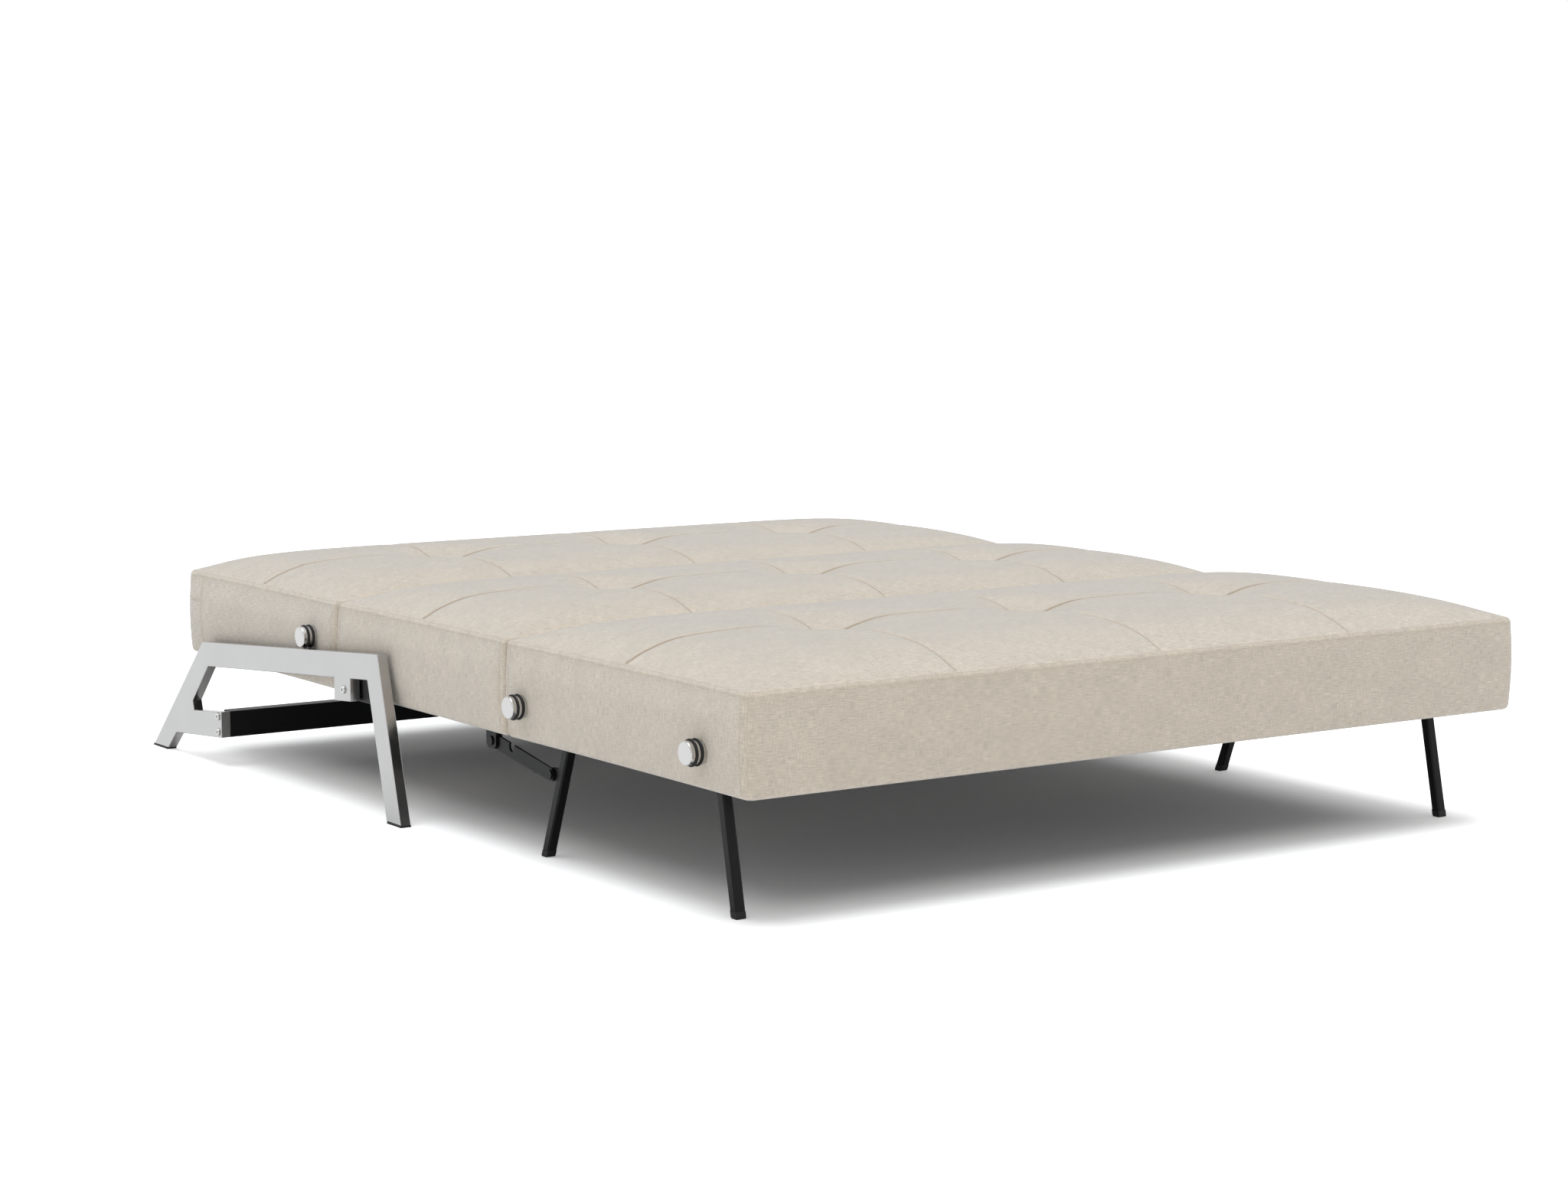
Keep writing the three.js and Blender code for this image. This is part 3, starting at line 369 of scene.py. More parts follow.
def make_materials():
    """One finish for each of the record's slots, and the sewing thread and staples."""
    return {
        "upholstery": linen_weave(),
        # Cast aluminium plate, polished then lightly satined along its length: soft reflections, pale grey.
        "frame_metal": grained("satin polished aluminium plate", "bebdbc", "b7b6b5", 1.0, 0.2, 0.03,
                               0.5 * MM, 0.004 * MM, scale=(1, 0.05, 1)),
        # Chrome plate over turned brass: sharp reflections with hardly any haze.
        "bright_metal": grained("bright chrome plate", "cccbc9", "c6c5c3", 1.0, 0.08, 0.03, 0.4 * MM,
                                0.004 * MM),
        # Powder coat on steel tube: satin black with a fine orange-peel skin.
        "black_paint": grained("satin black powder coat", "08080a", "0c0c0d", 0.0, 0.38, 0.04, 1.4 * MM,
                               0.02 * MM, shine=0.2),
        # Moulded polypropylene: dull black with an etched mould grain.
        "black_plastic": grained("moulded black polypropylene", "111112", "171718", 0.0, 0.58, 0.07, 0.6 * MM,
                                 0.05 * MM, shine=0.4),
        # Nitrile rubber cord rings: matt black, a little greyer where they are handled.
        "rubber": grained("matt nitrile rubber", "0d0d0e", "151516", 0.0, 0.66, 0.06, 0.5 * MM, 0.03 * MM,
                          shine=0.35),
        # Spunbond polypropylene under the seat: black, very matt, with a felted face.
        "dust_cloth": grained("black spunbond dust cloth", "1c1c1d", "252526", 0.0, 0.93, 0.04, 2.5 * MM,
                              0.2 * MM, shine=0.2),
        # Twisted polyester thread: slightly glossier than the cloth, in its own pale tan.
        "thread": grained("tan polyester sewing thread", "cfc2ab", "d8ccb7", 0.0, 0.62, 0.08, 0.8 * MM,
                          0.1 * MM, shine=0.4),
        # Galvanised staple wire: cool grey, neither bright nor dull.
        "staples": grained("galvanised staple wire", "a9abae", "94969a", 1.0, 0.36, 0.08, 0.6 * MM,
                           0.02 * MM),
    }


# Cushions


def lines_between(low, high, seams, pitch, steps, rim_steps):
    """Grid lines from low to high, closer together beside the seams and the rim."""
    marks = [low, high, *seams]
    fine = [seam + sign * step for seam in seams for step in steps for sign in (-1, 1)]
    fine += [low + step for step in rim_steps] + [high - step for step in rim_steps]
    for mark in fine:
        if low < mark < high and min(abs(mark - m) for m in marks) > CLOSEST_LINES:
            marks.append(mark)
    marks.sort()
    lines = [marks[0]]
    for start, end in zip(marks, marks[1:]):
        count = max(1, math.ceil((end - start) / pitch - SAME_PLACE))
        lines += [start + (end - start) * k / count for k in range(1, count + 1)]
    return np.array(lines)


def crown(x, y, half):
    """How far the padding rises above the edge."""
    across = np.clip(1 - np.abs(x / HALF_WIDTH) ** CROWN_POWER_ACROSS, 0, 1) ** CROWN_ROUND
    along = np.clip(1 - np.abs(y / half) ** CROWN_POWER_ALONG, 0, 1) ** CROWN_ROUND
    return CROWN * across * along


def sewing(x, y):
    """How far the seams and tufts pull the top down."""
    nearest = np.min([np.abs(x - tuft) for tuft in TUFTS], axis=0)
    reach = np.hypot(nearest, y)
    channels = np.maximum(bell(nearest, CHANNEL_SPREAD), bell(y, CHANNEL_SPREAD))
    creases = np.maximum(bell(nearest, CREASE_SPREAD), bell(y, CREASE_SPREAD))
    return (CHANNEL_DEPTH * channels + CREASE_DEPTH * creases + TUFT_DEPTH * bell(reach, TUFT_SPREAD)
            + TUFT_PIT_DEPTH * bell(reach, TUFT_PIT_SPREAD))


def plan_point(x, y, half, share, radius):
    """The plan of a cushion at a share of its height, with its corners rounded and its sides drawn in."""
    flat = 1 - np.sin(math.pi * share)
    pull_x = SIDE_BULGE * flat + SIDE_DRAW_IN * (1 - (y / half) ** 2)
    pull_y = END_BULGE * flat + END_DRAW_IN * (1 - (x / HALF_WIDTH) ** 2)
    over_x = np.maximum(0, np.abs(x) - (HALF_WIDTH - radius))
    over_y = np.maximum(0, np.abs(y) - (half - radius))
    reach = np.hypot(over_x, over_y)
    shrink = np.where(reach > 0, np.maximum(over_x, over_y) / np.maximum(reach, TINY), 1)
    out_x = np.abs(x) - over_x * (1 - shrink)
    out_y = np.abs(y) - over_y * (1 - shrink)
    edge_x = np.maximum(0, (np.abs(x) / HALF_WIDTH - 0.5) * 2)
    edge_y = np.maximum(0, (np.abs(y) / half - 0.5) * 2)
    return np.sign(x) * (out_x - pull_x * edge_x), np.sign(y) * (out_y - pull_y * edge_y)


def plan_normal(x, y, half, radius):
    """The way out from the rim, seen from above."""
    over_x = np.maximum(0, np.abs(x) - (HALF_WIDTH - radius)) * np.sign(x)
    over_y = np.maximum(0, np.abs(y) - (half - radius)) * np.sign(y)
    reach = np.maximum(np.hypot(over_x, over_y), TINY)
    return over_x / reach, over_y / reach


def by_end(y, at_low, at_high):
    """The value for the nearer end, where y is measured from a cushion's middle."""
    return np.where(y > 0, at_high, at_low)


class Cushion:
    """The surface of one section's cushion as a top grid and rings of side points below its rim."""

    def __init__(self, low, high, xs, ys, heights, joint_gaps):
        """joint_gaps holds the gap to the next section at the low and the high end, or zero at a free end."""
        self.joint_gaps = joint_gaps
        self.ends = (low, high)
        self.half = (high - low) / 2
        self.middle = (high + low) / 2
        self.xs = xs
        self.ys = ys
        self.heights = np.array(heights)
        grid_x, grid_y = np.meshgrid(xs, ys)
        self.grid_x = grid_x
        self.grid_y = grid_y
        columns, rows = len(xs), len(ys)
        rim = [(0, i) for i in range(columns - 1)]
        rim += [(j, columns - 1) for j in range(rows - 1)]
        rim += [(rows - 1, columns - 1 - i) for i in range(columns - 1)]
        rim += [(rows - 1 - j, 0) for j in range(rows - 1)]
        self.rim = np.array(rim)
        self.rim_x = grid_x[self.rim[:, 0], self.rim[:, 1]]
        self.rim_y = grid_y[self.rim[:, 0], self.rim[:, 1]]
        steps = np.hypot(np.diff(self.rim_x), np.diff(self.rim_y))
        self.rim_along = np.concatenate([[0], np.cumsum(steps)])
        self.round_it = 4 * (HALF_WIDTH + self.half)
        self.normal = np.stack(plan_normal(self.rim_x, self.rim_y, self.half, self.corners(self.rim_y)), -1)

    def corners(self, y):
        """The corners' radius in plan, smaller where the next section meets them."""
        radii = [JOINT_CORNER_RADIUS if gap > 0 else CORNER_RADIUS for gap in self.joint_gaps]
        return by_end(y, *radii)

    def top(self, share=1.0):
        """The top's points, with the crown at a share of its height."""
        x, y = plan_point(self.grid_x, self.grid_y, self.half, 1.0, self.corners(self.grid_y))
        from_side = HALF_WIDTH - np.abs(self.grid_x)
        from_end = self.half - np.abs(self.grid_y)
        x -= np.sign(x) * EDGE_ROUND * np.clip(1 - from_side / EDGE_ROUND_FADE, 0, 1)
        y -= np.sign(y) * EDGE_ROUND * np.clip(1 - from_end / EDGE_ROUND_FADE, 0, 1)
        rise = crown(self.grid_x, self.grid_y, self.half)
        pulled = 1 - np.minimum(1, sewing(self.grid_x, self.grid_y) / CROWN)
        return np.stack([x, y + self.middle, EDGE_HEIGHT + share * rise * pulled], -1)

    def sides(self):
        """The rings of side points, downwards. Joint faces bulge until they nearly meet the next section."""
        rings = []
        gap = by_end(self.rim_y, *self.joint_gaps)
        drawn = END_DRAW_IN * (1 - (self.rim_x / HALF_WIDTH) ** 2)
        on_joint = (gap > 0) & (np.abs(self.normal[:, 1]) > FACES_JOINT)
        meeting = np.where(on_joint, gap / 2 - JOINT_CLEARANCE + drawn, 0)
        for height in self.heights:
            share = (height - UNDERSIDE) / (EDGE_HEIGHT - UNDERSIDE)
            x, y = plan_point(self.rim_x, self.rim_y, self.half, share, self.corners(self.rim_y))
            y += np.sign(self.rim_y) * meeting * math.sin(math.pi * share) ** 0.5
            above = min(HEM_RADIUS, height - UNDERSIDE)
            inset = HEM_RADIUS - math.sqrt(max(0, HEM_RADIUS ** 2 - (HEM_RADIUS - above) ** 2))
            below = min(EDGE_ROUND, EDGE_HEIGHT - height)
            inset += EDGE_ROUND - math.sqrt(max(0, EDGE_ROUND ** 2 - (EDGE_ROUND - below) ** 2))
            rings.append(np.stack([x - inset * self.normal[:, 0], y + self.middle - inset * self.normal[:, 1],
                                   np.full_like(x, height)], -1))
        return np.array(rings)


def grid_faces(columns, rows):
    """Quads between the points of a grid that are listed row by row."""
    faces = []
    for j in range(rows - 1):
        for i in range(columns - 1):
            a = j * columns + i
            faces.append((a, a + 1, a + columns + 1, a + columns))
    return faces


def ring_faces(upper, lower):
    """Quads between a ring of points and the one below it."""
    count = len(upper)
    return [(lower[k], lower[(k + 1) % count], upper[(k + 1) % count], upper[k]) for k in range(count)]


def swell(cushion):
    """Blows the cover up a little with cloth simulation, and returns how far its points move."""
    top = cushion.top(SWELL_START_SHARE)
    rings = cushion.sides()
    columns, rows = len(cushion.xs), len(cushion.ys)
    points = list(top.reshape(-1, 3))
    faces = grid_faces(columns, rows)
    upper = [int(j * columns + i) for j, i in cushion.rim]
    for ring in rings:
        lower = list(range(len(points), len(points) + len(ring)))
        points += list(ring)
        faces += ring_faces(upper, lower)
        upper = lower
    points.append(np.array([0, cushion.middle, UNDERSIDE]))
    centre = len(points) - 1
    faces += [(upper[(k + 1) % len(upper)], upper[k], centre) for k in range(len(upper))]
    cover = new_object("cover_to_swell", points, faces)

    nearest = np.min([np.abs(cushion.grid_x - tuft) for tuft in TUFTS], axis=0)
    seams = np.maximum(bell(nearest, CHANNEL_SPREAD), bell(cushion.grid_y, CHANNEL_SPREAD))
    tufts = bell(np.hypot(nearest, cushion.grid_y), TUFT_PIT_SPREAD)
    held_top = np.clip(SWELL_SEAM_HOLD * seams + tufts, 0, 1)
    held_top[cushion.rim[:, 0], cushion.rim[:, 1]] = 1.0
    held = np.ones(len(points))
    held[:held_top.size] = held_top.ravel()
    side = held_top.size
    on_end = np.abs(cushion.normal[:, 1]) > SWELL_HELD_FACING
    for index, height in enumerate(cushion.heights):
        share = (height - UNDERSIDE) / (EDGE_HEIGHT - UNDERSIDE)
        hold = 0.0 if SWELL_FREE_SHARES[0] < share < SWELL_FREE_SHARES[1] else 1.0
        first = side + index * len(cushion.rim)
        held[first:first + len(cushion.rim)] = np.where(on_end, 1.0, hold)
    group = cover.vertex_groups.new(name="sewn_down")
    for index, weight in enumerate(held):
        if weight > SWELL_LEAST_HOLD:
            group.add([index], float(weight), "REPLACE")

    cloth = cover.modifiers.new("cloth", "CLOTH")
    cloth.settings.quality = 5
    cloth.settings.tension_stiffness = 20
    cloth.settings.compression_stiffness = 20
    cloth.settings.shear_stiffness = 8
    cloth.settings.bending_stiffness = 0.6
    cloth.settings.use_pressure = True
    cloth.settings.uniform_pressure_force = SWELL_PRESSURE
    cloth.settings.effector_weights.gravity = 0
    cloth.settings.vertex_group_mass = "sewn_down"
    cloth.collision_settings.use_collision = False
    cloth.point_cache.frame_start = 1
    cloth.point_cache.frame_end = SWELL_FRAMES
    for step in range(1, SWELL_FRAMES + 1):
        bpy.context.scene.frame_set(step)
    graph = bpy.context.evaluated_depsgraph_get()
    settled = cover.evaluated_get(graph).to_mesh()
    after = np.array([v.co for v in settled.vertices])
    moved = after - np.array(points)
    cover.evaluated_get(graph).to_mesh_clear()
    mesh = cover.data
    bpy.data.objects.remove(cover)
    bpy.data.meshes.remove(mesh)
    bpy.context.scene.frame_set(1)
    length = np.maximum(np.linalg.norm(moved, axis=1, keepdims=True), TINY)
    moved *= np.minimum(1, SWELL_CAP / length)
    moved_top = moved[:held_top.size].reshape(rows, columns, 3)
    moved_sides = moved[side:side + len(cushion.heights) * len(cushion.rim)]
    return moved_top, moved_sides.reshape(len(cushion.heights), len(cushion.rim), 3)


def between(places, old, new, axis):
    """Values at the old places along one axis, read at the new places."""
    moved = np.moveaxis(places, axis, 0)
    flat = moved.reshape(len(old), -1)
    made = np.stack([np.interp(new, old, flat[:, k]) for k in range(flat.shape[1])], -1)
    return np.moveaxis(made.reshape(len(new), *moved.shape[1:]), 0, axis)


def rounded_rings(values, old, new, whole):
    """Values at the old places round a closed rim, read at the new places."""
    wrapped = np.concatenate([values, values[:, :1]], axis=1)
    return between(wrapped, np.append(old, whole), new, 1)


# Heights of the rings of side points in millimetres, closer together at seams and rounded edges.
SIDE_HEIGHTS = [361.4, 360.4, 359.4, 357.6, 354.5, 347, 336, 322, 310.5, 307, 305.8, 305, 304.2, 303, 299.5,
                286, 270, 252, 234, 220, 209, 205, 202.2, 200.5, 200]


def swollen(cushion):
    """The top and side points of a cushion after a coarser copy of its cover has been blown up."""
    coarse_xs = lines_between(-HALF_WIDTH, HALF_WIDTH, TUFTS, SWELL_PITCH, SEAM_STEPS[3:], RIM_STEPS[2:3])
    coarse_ys = lines_between(-cushion.half, cushion.half, [0.0], SWELL_PITCH, SEAM_STEPS[3:],
                              RIM_STEPS[2:3])
    coarse_heights = np.linspace(EDGE_HEIGHT, UNDERSIDE, SWELL_LEVELS + 1)[1:]
    coarse = Cushion(*cushion.ends, coarse_xs, coarse_ys, coarse_heights, cushion.joint_gaps)
    moved_top, moved_rings = swell(coarse)
    raised = between(between(moved_top, coarse.ys, cushion.ys, 0), coarse.xs, cushion.xs, 1)
    top = cushion.top(SWELL_START_SHARE) + raised

    rings = cushion.sides()
    sideways = rounded_rings(moved_rings, coarse.rim_along, cushion.rim_along, cushion.round_it)
    levels = np.arange(SWELL_LEVELS)
    places = np.interp(cushion.heights, coarse_heights[::-1], levels[::-1])
    sideways = between(sideways, levels, places, 0)
    outward = np.einsum("lrk,rk->lr", sideways[..., :2], cushion.normal)
    outward = np.clip(outward, -SWELL_SIDE_CAP, SWELL_SIDE_CAP)
    rings[..., 0] += outward * cushion.normal[:, 0]
    rings[..., 1] += outward * cushion.normal[:, 1]
    return top, rings


def seam_depth(cushion, side_seams, corner_seam_y, end_seam_y):
    """How deep each side point lies in a sewn seam, from 0 to 1."""
    level = cushion.heights[:, None]
    place = cushion.rim_y + cushion.middle
    edge_seam = EDGE_HEIGHT - EDGE_SEAM_DROP
    below = level < edge_seam + TOLERANCE
    on_side = np.abs(cushion.normal[:, 0]) > FACES_SIDE
    depth = np.tile(bell(level - edge_seam, GROOVE_SPREAD), (1, len(cushion.rim)))
    for seam in side_seams:
        depth = np.maximum(depth, bell(place - seam, GROOVE_SPREAD) * on_side * below)
    if corner_seam_y is not None:
        at_corner = np.abs(np.abs(cushion.rim_x) - HALF_WIDTH) < SAME_PLACE
        at_corner &= np.abs(place - corner_seam_y) < NEAR_SEAM
        depth = np.maximum(depth, at_corner * below)
    if end_seam_y is not None:
        past = place > end_seam_y - TOLERANCE
        depth = np.maximum(depth, bell(level - END_SEAM_HEIGHT, GROOVE_SPREAD) * past)
    return depth


LINING_BEND = 1.5 * MM

# Below, the cover wraps round the rim, and a lining goes up to the deck. Each ring of points here is how far
# out it lies, how high, and which of the two it belongs to.
HOLLOW_RINGS = ((1 * MM, UNDERSIDE, "under"), (0.0, UNDERSIDE + LINING_BEND, "lining"),
                (0.0, DECK_HEIGHT - LINING_BEND, "lining"), (-LINING_BEND, DECK_HEIGHT, "lining"))


def hollow_rings(cushion):
    """The kind of cloth and the points of each ring inside the rim."""
    across = (HALF_WIDTH - RIM_WIDTH) / HALF_WIDTH
    along = (cushion.half - RIM_WIDTH) / cushion.half
    for grow, height, kind in HOLLOW_RINGS:
        x = cushion.rim_x * across + np.sign(cushion.rim_x) * grow
        y = cushion.rim_y * along + np.sign(cushion.rim_y) * grow + cushion.middle
        yield kind, np.stack([x, y, np.full(len(x), height)], -1)


def deck_faces(upper, columns, rows):
    """Strips across the deck. The first and the last also take in the points along the short sides."""
    count = len(upper)
    back_corner = 2 * columns + rows - 3
    faces = []
    for i in range(columns - 1):
        ahead = upper[i:i + 2]
        behind = [upper[(back_corner - i - k) % count] for k in (0, 1)]
        left_edge = upper[back_corner + 1:] if i == 0 else []
        right_edge = upper[columns:columns + rows - 2] if i == columns - 2 else []
        faces.append((ahead[0], *reversed(left_edge), behind[0], behind[1], *reversed(right_edge), ahead[1]))
    return faces


def make_cushion(name, side_seams, corner_seam_y, end_seam_y, upright_grain, joint_gaps):
    """One padded cushion. Returns its object, its plan and its rings of side points."""
    low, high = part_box(name)
    middle = (low.y + high.y) / 2
    half = (high.y - low.y) / 2
    seams_y = [0.0] + [seam - middle for seam in side_seams]
    xs = lines_between(-HALF_WIDTH, HALF_WIDTH, TUFTS, GRID_PITCH, SEAM_STEPS, RIM_STEPS)
    ys = lines_between(-half, half, seams_y, GRID_PITCH, SEAM_STEPS, RIM_STEPS)
    cushion = Cushion(low.y, high.y, xs, ys, [height * MM for height in SIDE_HEIGHTS], joint_gaps)
    top, rings = swollen(cushion)

    depth = seam_depth(cushion, side_seams, corner_seam_y, end_seam_y)
    rings[..., 0] -= SIDE_GROOVE * depth * cushion.normal[:, 0]
    rings[..., 1] -= SIDE_GROOVE * depth * cushion.normal[:, 1]
    # Painted shade: the side seams' grooves and the seam lines on the top are darkened in the cloth's colour.
    near_edge = cushion.heights[:, None] > EDGE_HEIGHT - EDGE_SEAM_REACH
    side_shade = depth * np.where(near_edge, EDGE_SEAM_SHADE, SIDE_SEAM_SHADE)
    nearest = np.min([np.abs(cushion.grid_x - tuft) for tuft in TUFTS], axis=0)
    top_shade = np.maximum(TUFT_LINE_SHADE * bell(nearest, TUFT_LINE_SPREAD),
                           bell(cushion.grid_y, MID_LINE_SPREAD))

    columns, rows = len(xs), len(ys)
    count = len(cushion.rim)
    points = list(top.reshape(-1, 3))
    shade = list(top_shade.ravel())
    faces = grid_faces(columns, rows)
    kinds = ["top"] * len(faces)
    upper = [int(j * columns + i) for j, i in cushion.rim]
    mid_x = (cushion.rim_x + np.roll(cushion.rim_x, -1)) / 2
    side_kinds = ["side" if abs(abs(x) - HALF_WIDTH) < SAME_PLACE else "end" for x in mid_x]
    layers = [(side_kinds, ring, list(ring_shade)) for ring, ring_shade in zip(rings, side_shade)]
    layers += [([kind] * count, ring, [0.0] * count) for kind, ring in hollow_rings(cushion)]
    for ring_kinds, ring, ring_shade in layers:
        lower = list(range(len(points), len(points) + count))
        points += list(ring)
        shade += ring_shade
        faces += ring_faces(upper, lower)
        kinds += ring_kinds
        upper = lower
    deck = deck_faces(upper, columns, rows)
    faces += deck
    kinds += ["lining"] * len(deck)

    made = new_object(f"padded_{name}", points, faces)
    made.data.materials.append(finishes["upholstery"])
    made.data.materials.append(finishes["dust_cloth"])
    for face, kind in zip(made.data.polygons, kinds):
        face.material_index = 1 if kind == "lining" else 0
        face.use_smooth = True
    # seam_shade carries the painted shade of the seams to the cloth's material.
    attribute = made.data.attributes.new("seam_shade", "FLOAT", "POINT")
    attribute.data.foreach_set("value", np.array(shade, np.float32))
    lay_cloth(made, kinds, upright_grain)
    rounder = made.modifiers.new("rounder", "SUBSURF")
    rounder.levels = 1
    rounder.render_levels = 1
    return made, cushion, rings


def lay_cloth(made, kinds, upright_grain):
    """Lays the cloth's grain on each sewn panel, in metres: U runs along the slubs."""
    layer = made.data.uv_layers.new(name="cloth")
    for face, kind in zip(made.data.polygons, kinds):
        for loop in face.loop_indices:
            x, y, z = made.data.vertices[made.data.loops[loop].vertex_index].co
            if kind == "side":
                place = (z, y) if upright_grain else (y, z)
            elif kind == "end":
                place = (x, z)
            else:
                place = (x, y)
            layer.data[loop].uv = place


# Stitches and staples


STITCHES = {"Pitch": 6 * MM, "Length": 4.4 * MM, "Width": 0.9 * MM, "Height": 0.9 * MM}
STAPLES = {"Pitch": 38 * MM, "Length": 10 * MM, "Width": 1.3 * MM, "Height": 0.9 * MM}
THREAD_STANDS_OFF = 0.25 * MM
STITCHED_LOW = 206 * MM
STITCHED_HIGH = 356 * MM
STAPLES_FROM_HOLLOW = 9 * MM
STAPLES_BELOW = 0.2 * MM
STAPLED_SHARES = (0.02, 0.98)
STAPLE_LINE_POINTS = 9


def row_tree():
    """Geometry Nodes: a row of small rounded pieces along a path."""
    tree = bpy.data.node_groups.new("pieces along a path", "GeometryNodeTree")
    tree.interface.new_socket("Geometry", in_out="INPUT", socket_type="NodeSocketGeometry")
    for name, value in STITCHES.items():
        socket = tree.interface.new_socket(name, in_out="INPUT", socket_type="NodeSocketFloat")
        socket.default_value = value
    tree.interface.new_socket("Finish", in_out="INPUT", socket_type="NodeSocketMaterial")
    tree.interface.new_socket("Geometry", in_out="OUTPUT", socket_type="NodeSocketGeometry")
    given = add(tree, "NodeGroupInput")
    path = add(tree, "GeometryNodeMeshToCurve", {"Mesh": given.outputs["Geometry"]})
    spots = add(tree, "GeometryNodeCurveToPoints", {"Curve": path.outputs[0],
                                                    "Length": given.outputs["Pitch"]}, mode="LENGTH")
    turned = add(tree, "FunctionNodeAlignRotationToVector", {"Vector": spots.outputs["Tangent"]}, axis="X")
    bead = add(tree, "GeometryNodeMeshUVSphere", {"Segments": 6, "Rings": 4, "Radius": 0.5})
    size = add(tree, "ShaderNodeCombineXYZ", {"X": given.outputs["Length"], "Y": given.outputs["Width"],
                                              "Z": given.outputs["Height"]})
    row = add(tree, "GeometryNodeInstanceOnPoints", {
        "Points": spots.outputs[0], "Instance": bead.outputs[0], "Rotation": turned.outputs[0],
        "Scale": size.outputs[0]})
    plain = add(tree, "GeometryNodeRealizeInstances", {0: row.outputs[0]})
    soft = add(tree, "GeometryNodeSetShadeSmooth", {0: plain.outputs[0]})
    dressed = add(tree, "GeometryNodeSetMaterial", {"Geometry": soft.outputs[0],
                                                    "Material": given.outputs["Finish"]})
    add(tree, "NodeGroupOutput", {"Geometry": dressed.outputs[0]})
    return tree


def make_row(name, paths, body, finish, sizes):
    """Puts rounded pieces along paths of points, as one plain mesh on a body."""
    points = []
    edges = []
    for path in paths:
        start = len(points)
        points += [tuple(p) for p in path]
        edges += [(start + k, start + k + 1) for k in range(len(path) - 1)]
    mesh = bpy.data.meshes.new(f"{name}_path")
    mesh.from_pydata(points, edges, [])
    guide = bpy.data.objects.new(f"{name}_path", mesh)
    bpy.context.scene.collection.objects.link(guide)
    rows = guide.modifiers.new("rows", "NODES")
    rows.node_group = row_nodes
    values = dict(sizes, Finish=finish)
    for socket in row_nodes.interface.items_tree:
        if socket.in_out == "INPUT" and socket.name in values:
            rows[socket.identifier] = values[socket.name]
    graph = bpy.context.evaluated_depsgraph_get()
    plain = bpy.data.meshes.new_from_object(guide.evaluated_get(graph))
    made = bpy.data.objects.new(name, plain)
    bpy.context.scene.collection.objects.link(made)
    bpy.data.objects.remove(guide)
    bpy.data.meshes.remove(mesh)
    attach(made, body)


def ring_run(cushion, rings, height, keep):
    """The outside of one ring of side points, cut into runs where keep is true."""
    index = int(np.argmin(np.abs(cushion.heights - height)))
    ring = rings[index].copy()
    ring[:, :2] += THREAD_STANDS_OFF * cushion.normal
    wanted = [bool(keep(x, y + cushion.middle)) for x, y in zip(cushion.rim_x, cushion.rim_y)]
    count = len(wanted)
    if all(wanted):
        return [list(ring) + [ring[0]]]
    start = next(k for k in range(count) if wanted[k] and not wanted[k - 1])
    runs = []
    run = []
    for k in range(start, start + count):
        if wanted[k % count]:
            run.append(ring[k % count])
        elif run:
            runs.append(run)
            run = []
    if run:
        runs.append(run)
    return [r for r in runs if len(r) > 2]


def upright_run(cushion, rings, x_sign, y):
    """A line of side points from the hem to the edge seam, on one side."""
    other_side = np.abs(cushion.rim_x - x_sign * HALF_WIDTH) > SAME_PLACE
    k = int(np.argmin(np.where(other_side, np.inf, np.abs(cushion.rim_y + cushion.middle - y))))
    inside = [j for j, height in enumerate(cushion.heights) if STITCHED_LOW < height < STITCHED_HIGH]
    line = rings[inside, k].copy()
    line[:, :2] += THREAD_STANDS_OFF * cushion.normal[k]
    return list(line)


def staple_paths(cushion):
    """Lines along the underside of the rim, where the wrapped cover is stapled down."""
    x = HALF_WIDTH - RIM_WIDTH + STAPLES_FROM_HOLLOW
    y = cushion.half - RIM_WIDTH + STAPLES_FROM_HOLLOW
    z = UNDERSIDE - STAPLES_BELOW
    shares = np.linspace(*STAPLED_SHARES, STAPLE_LINE_POINTS)
    corners = np.array([(-x, -y), (x, -y), (x, y), (-x, y)])
    paths = []
    for start, end in zip(corners, np.roll(corners, -1, axis=0)):
        line = [start + (end - start) * share + (0, cushion.middle) for share in shares]
        paths.append([(*place, z) for place in line])
    return paths


def sew_and_staple(section, cushion, rings, side_seams, corner_seam_y, end_seam_y):
    """Rows of topstitching below the edge seam and beside the other seams, and staples under the rim."""
    low, high = cushion.ends
    low_gap, high_gap = cushion.joint_gaps

    def outside(x, y):
        at_free_end = (low_gap == 0 and y < low + TOLERANCE) or (high_gap == 0 and y > high - TOLERANCE)
        return abs(abs(x) - HALF_WIDTH) < SAME_PLACE or at_free_end

    paths = ring_run(cushion, rings, EDGE_HEIGHT - EDGE_STITCH_DROP, outside)
    for sign in (-1, 1):
        for seam in side_seams:
            toward = 1 if seam < cushion.middle else -1
            paths.append(upright_run(cushion, rings, sign, seam + toward * STITCH_FROM_SEAM))
        if corner_seam_y is not None:
            paths.append(upright_run(cushion, rings, sign, corner_seam_y + CORNER_RADIUS))
    if end_seam_y is not None:
        paths += ring_run(cushion, rings, END_STITCH_HEIGHT, lambda x, y: y > end_seam_y)
    make_row(f"{section}_topstitching", paths, section, finishes["thread"], STITCHES)
    make_row(f"{section}_cover_staples", staple_paths(cushion), section, finishes["staples"],
             STAPLES)


# Turned parts


TURNED_SIDES = 56


def six_sided(angle):
    """How a hexagon's radius compares with the circle inside it, at an angle."""
    return 1 / math.cos((angle + math.pi / 6) % (math.pi / 3) - math.pi / 6)


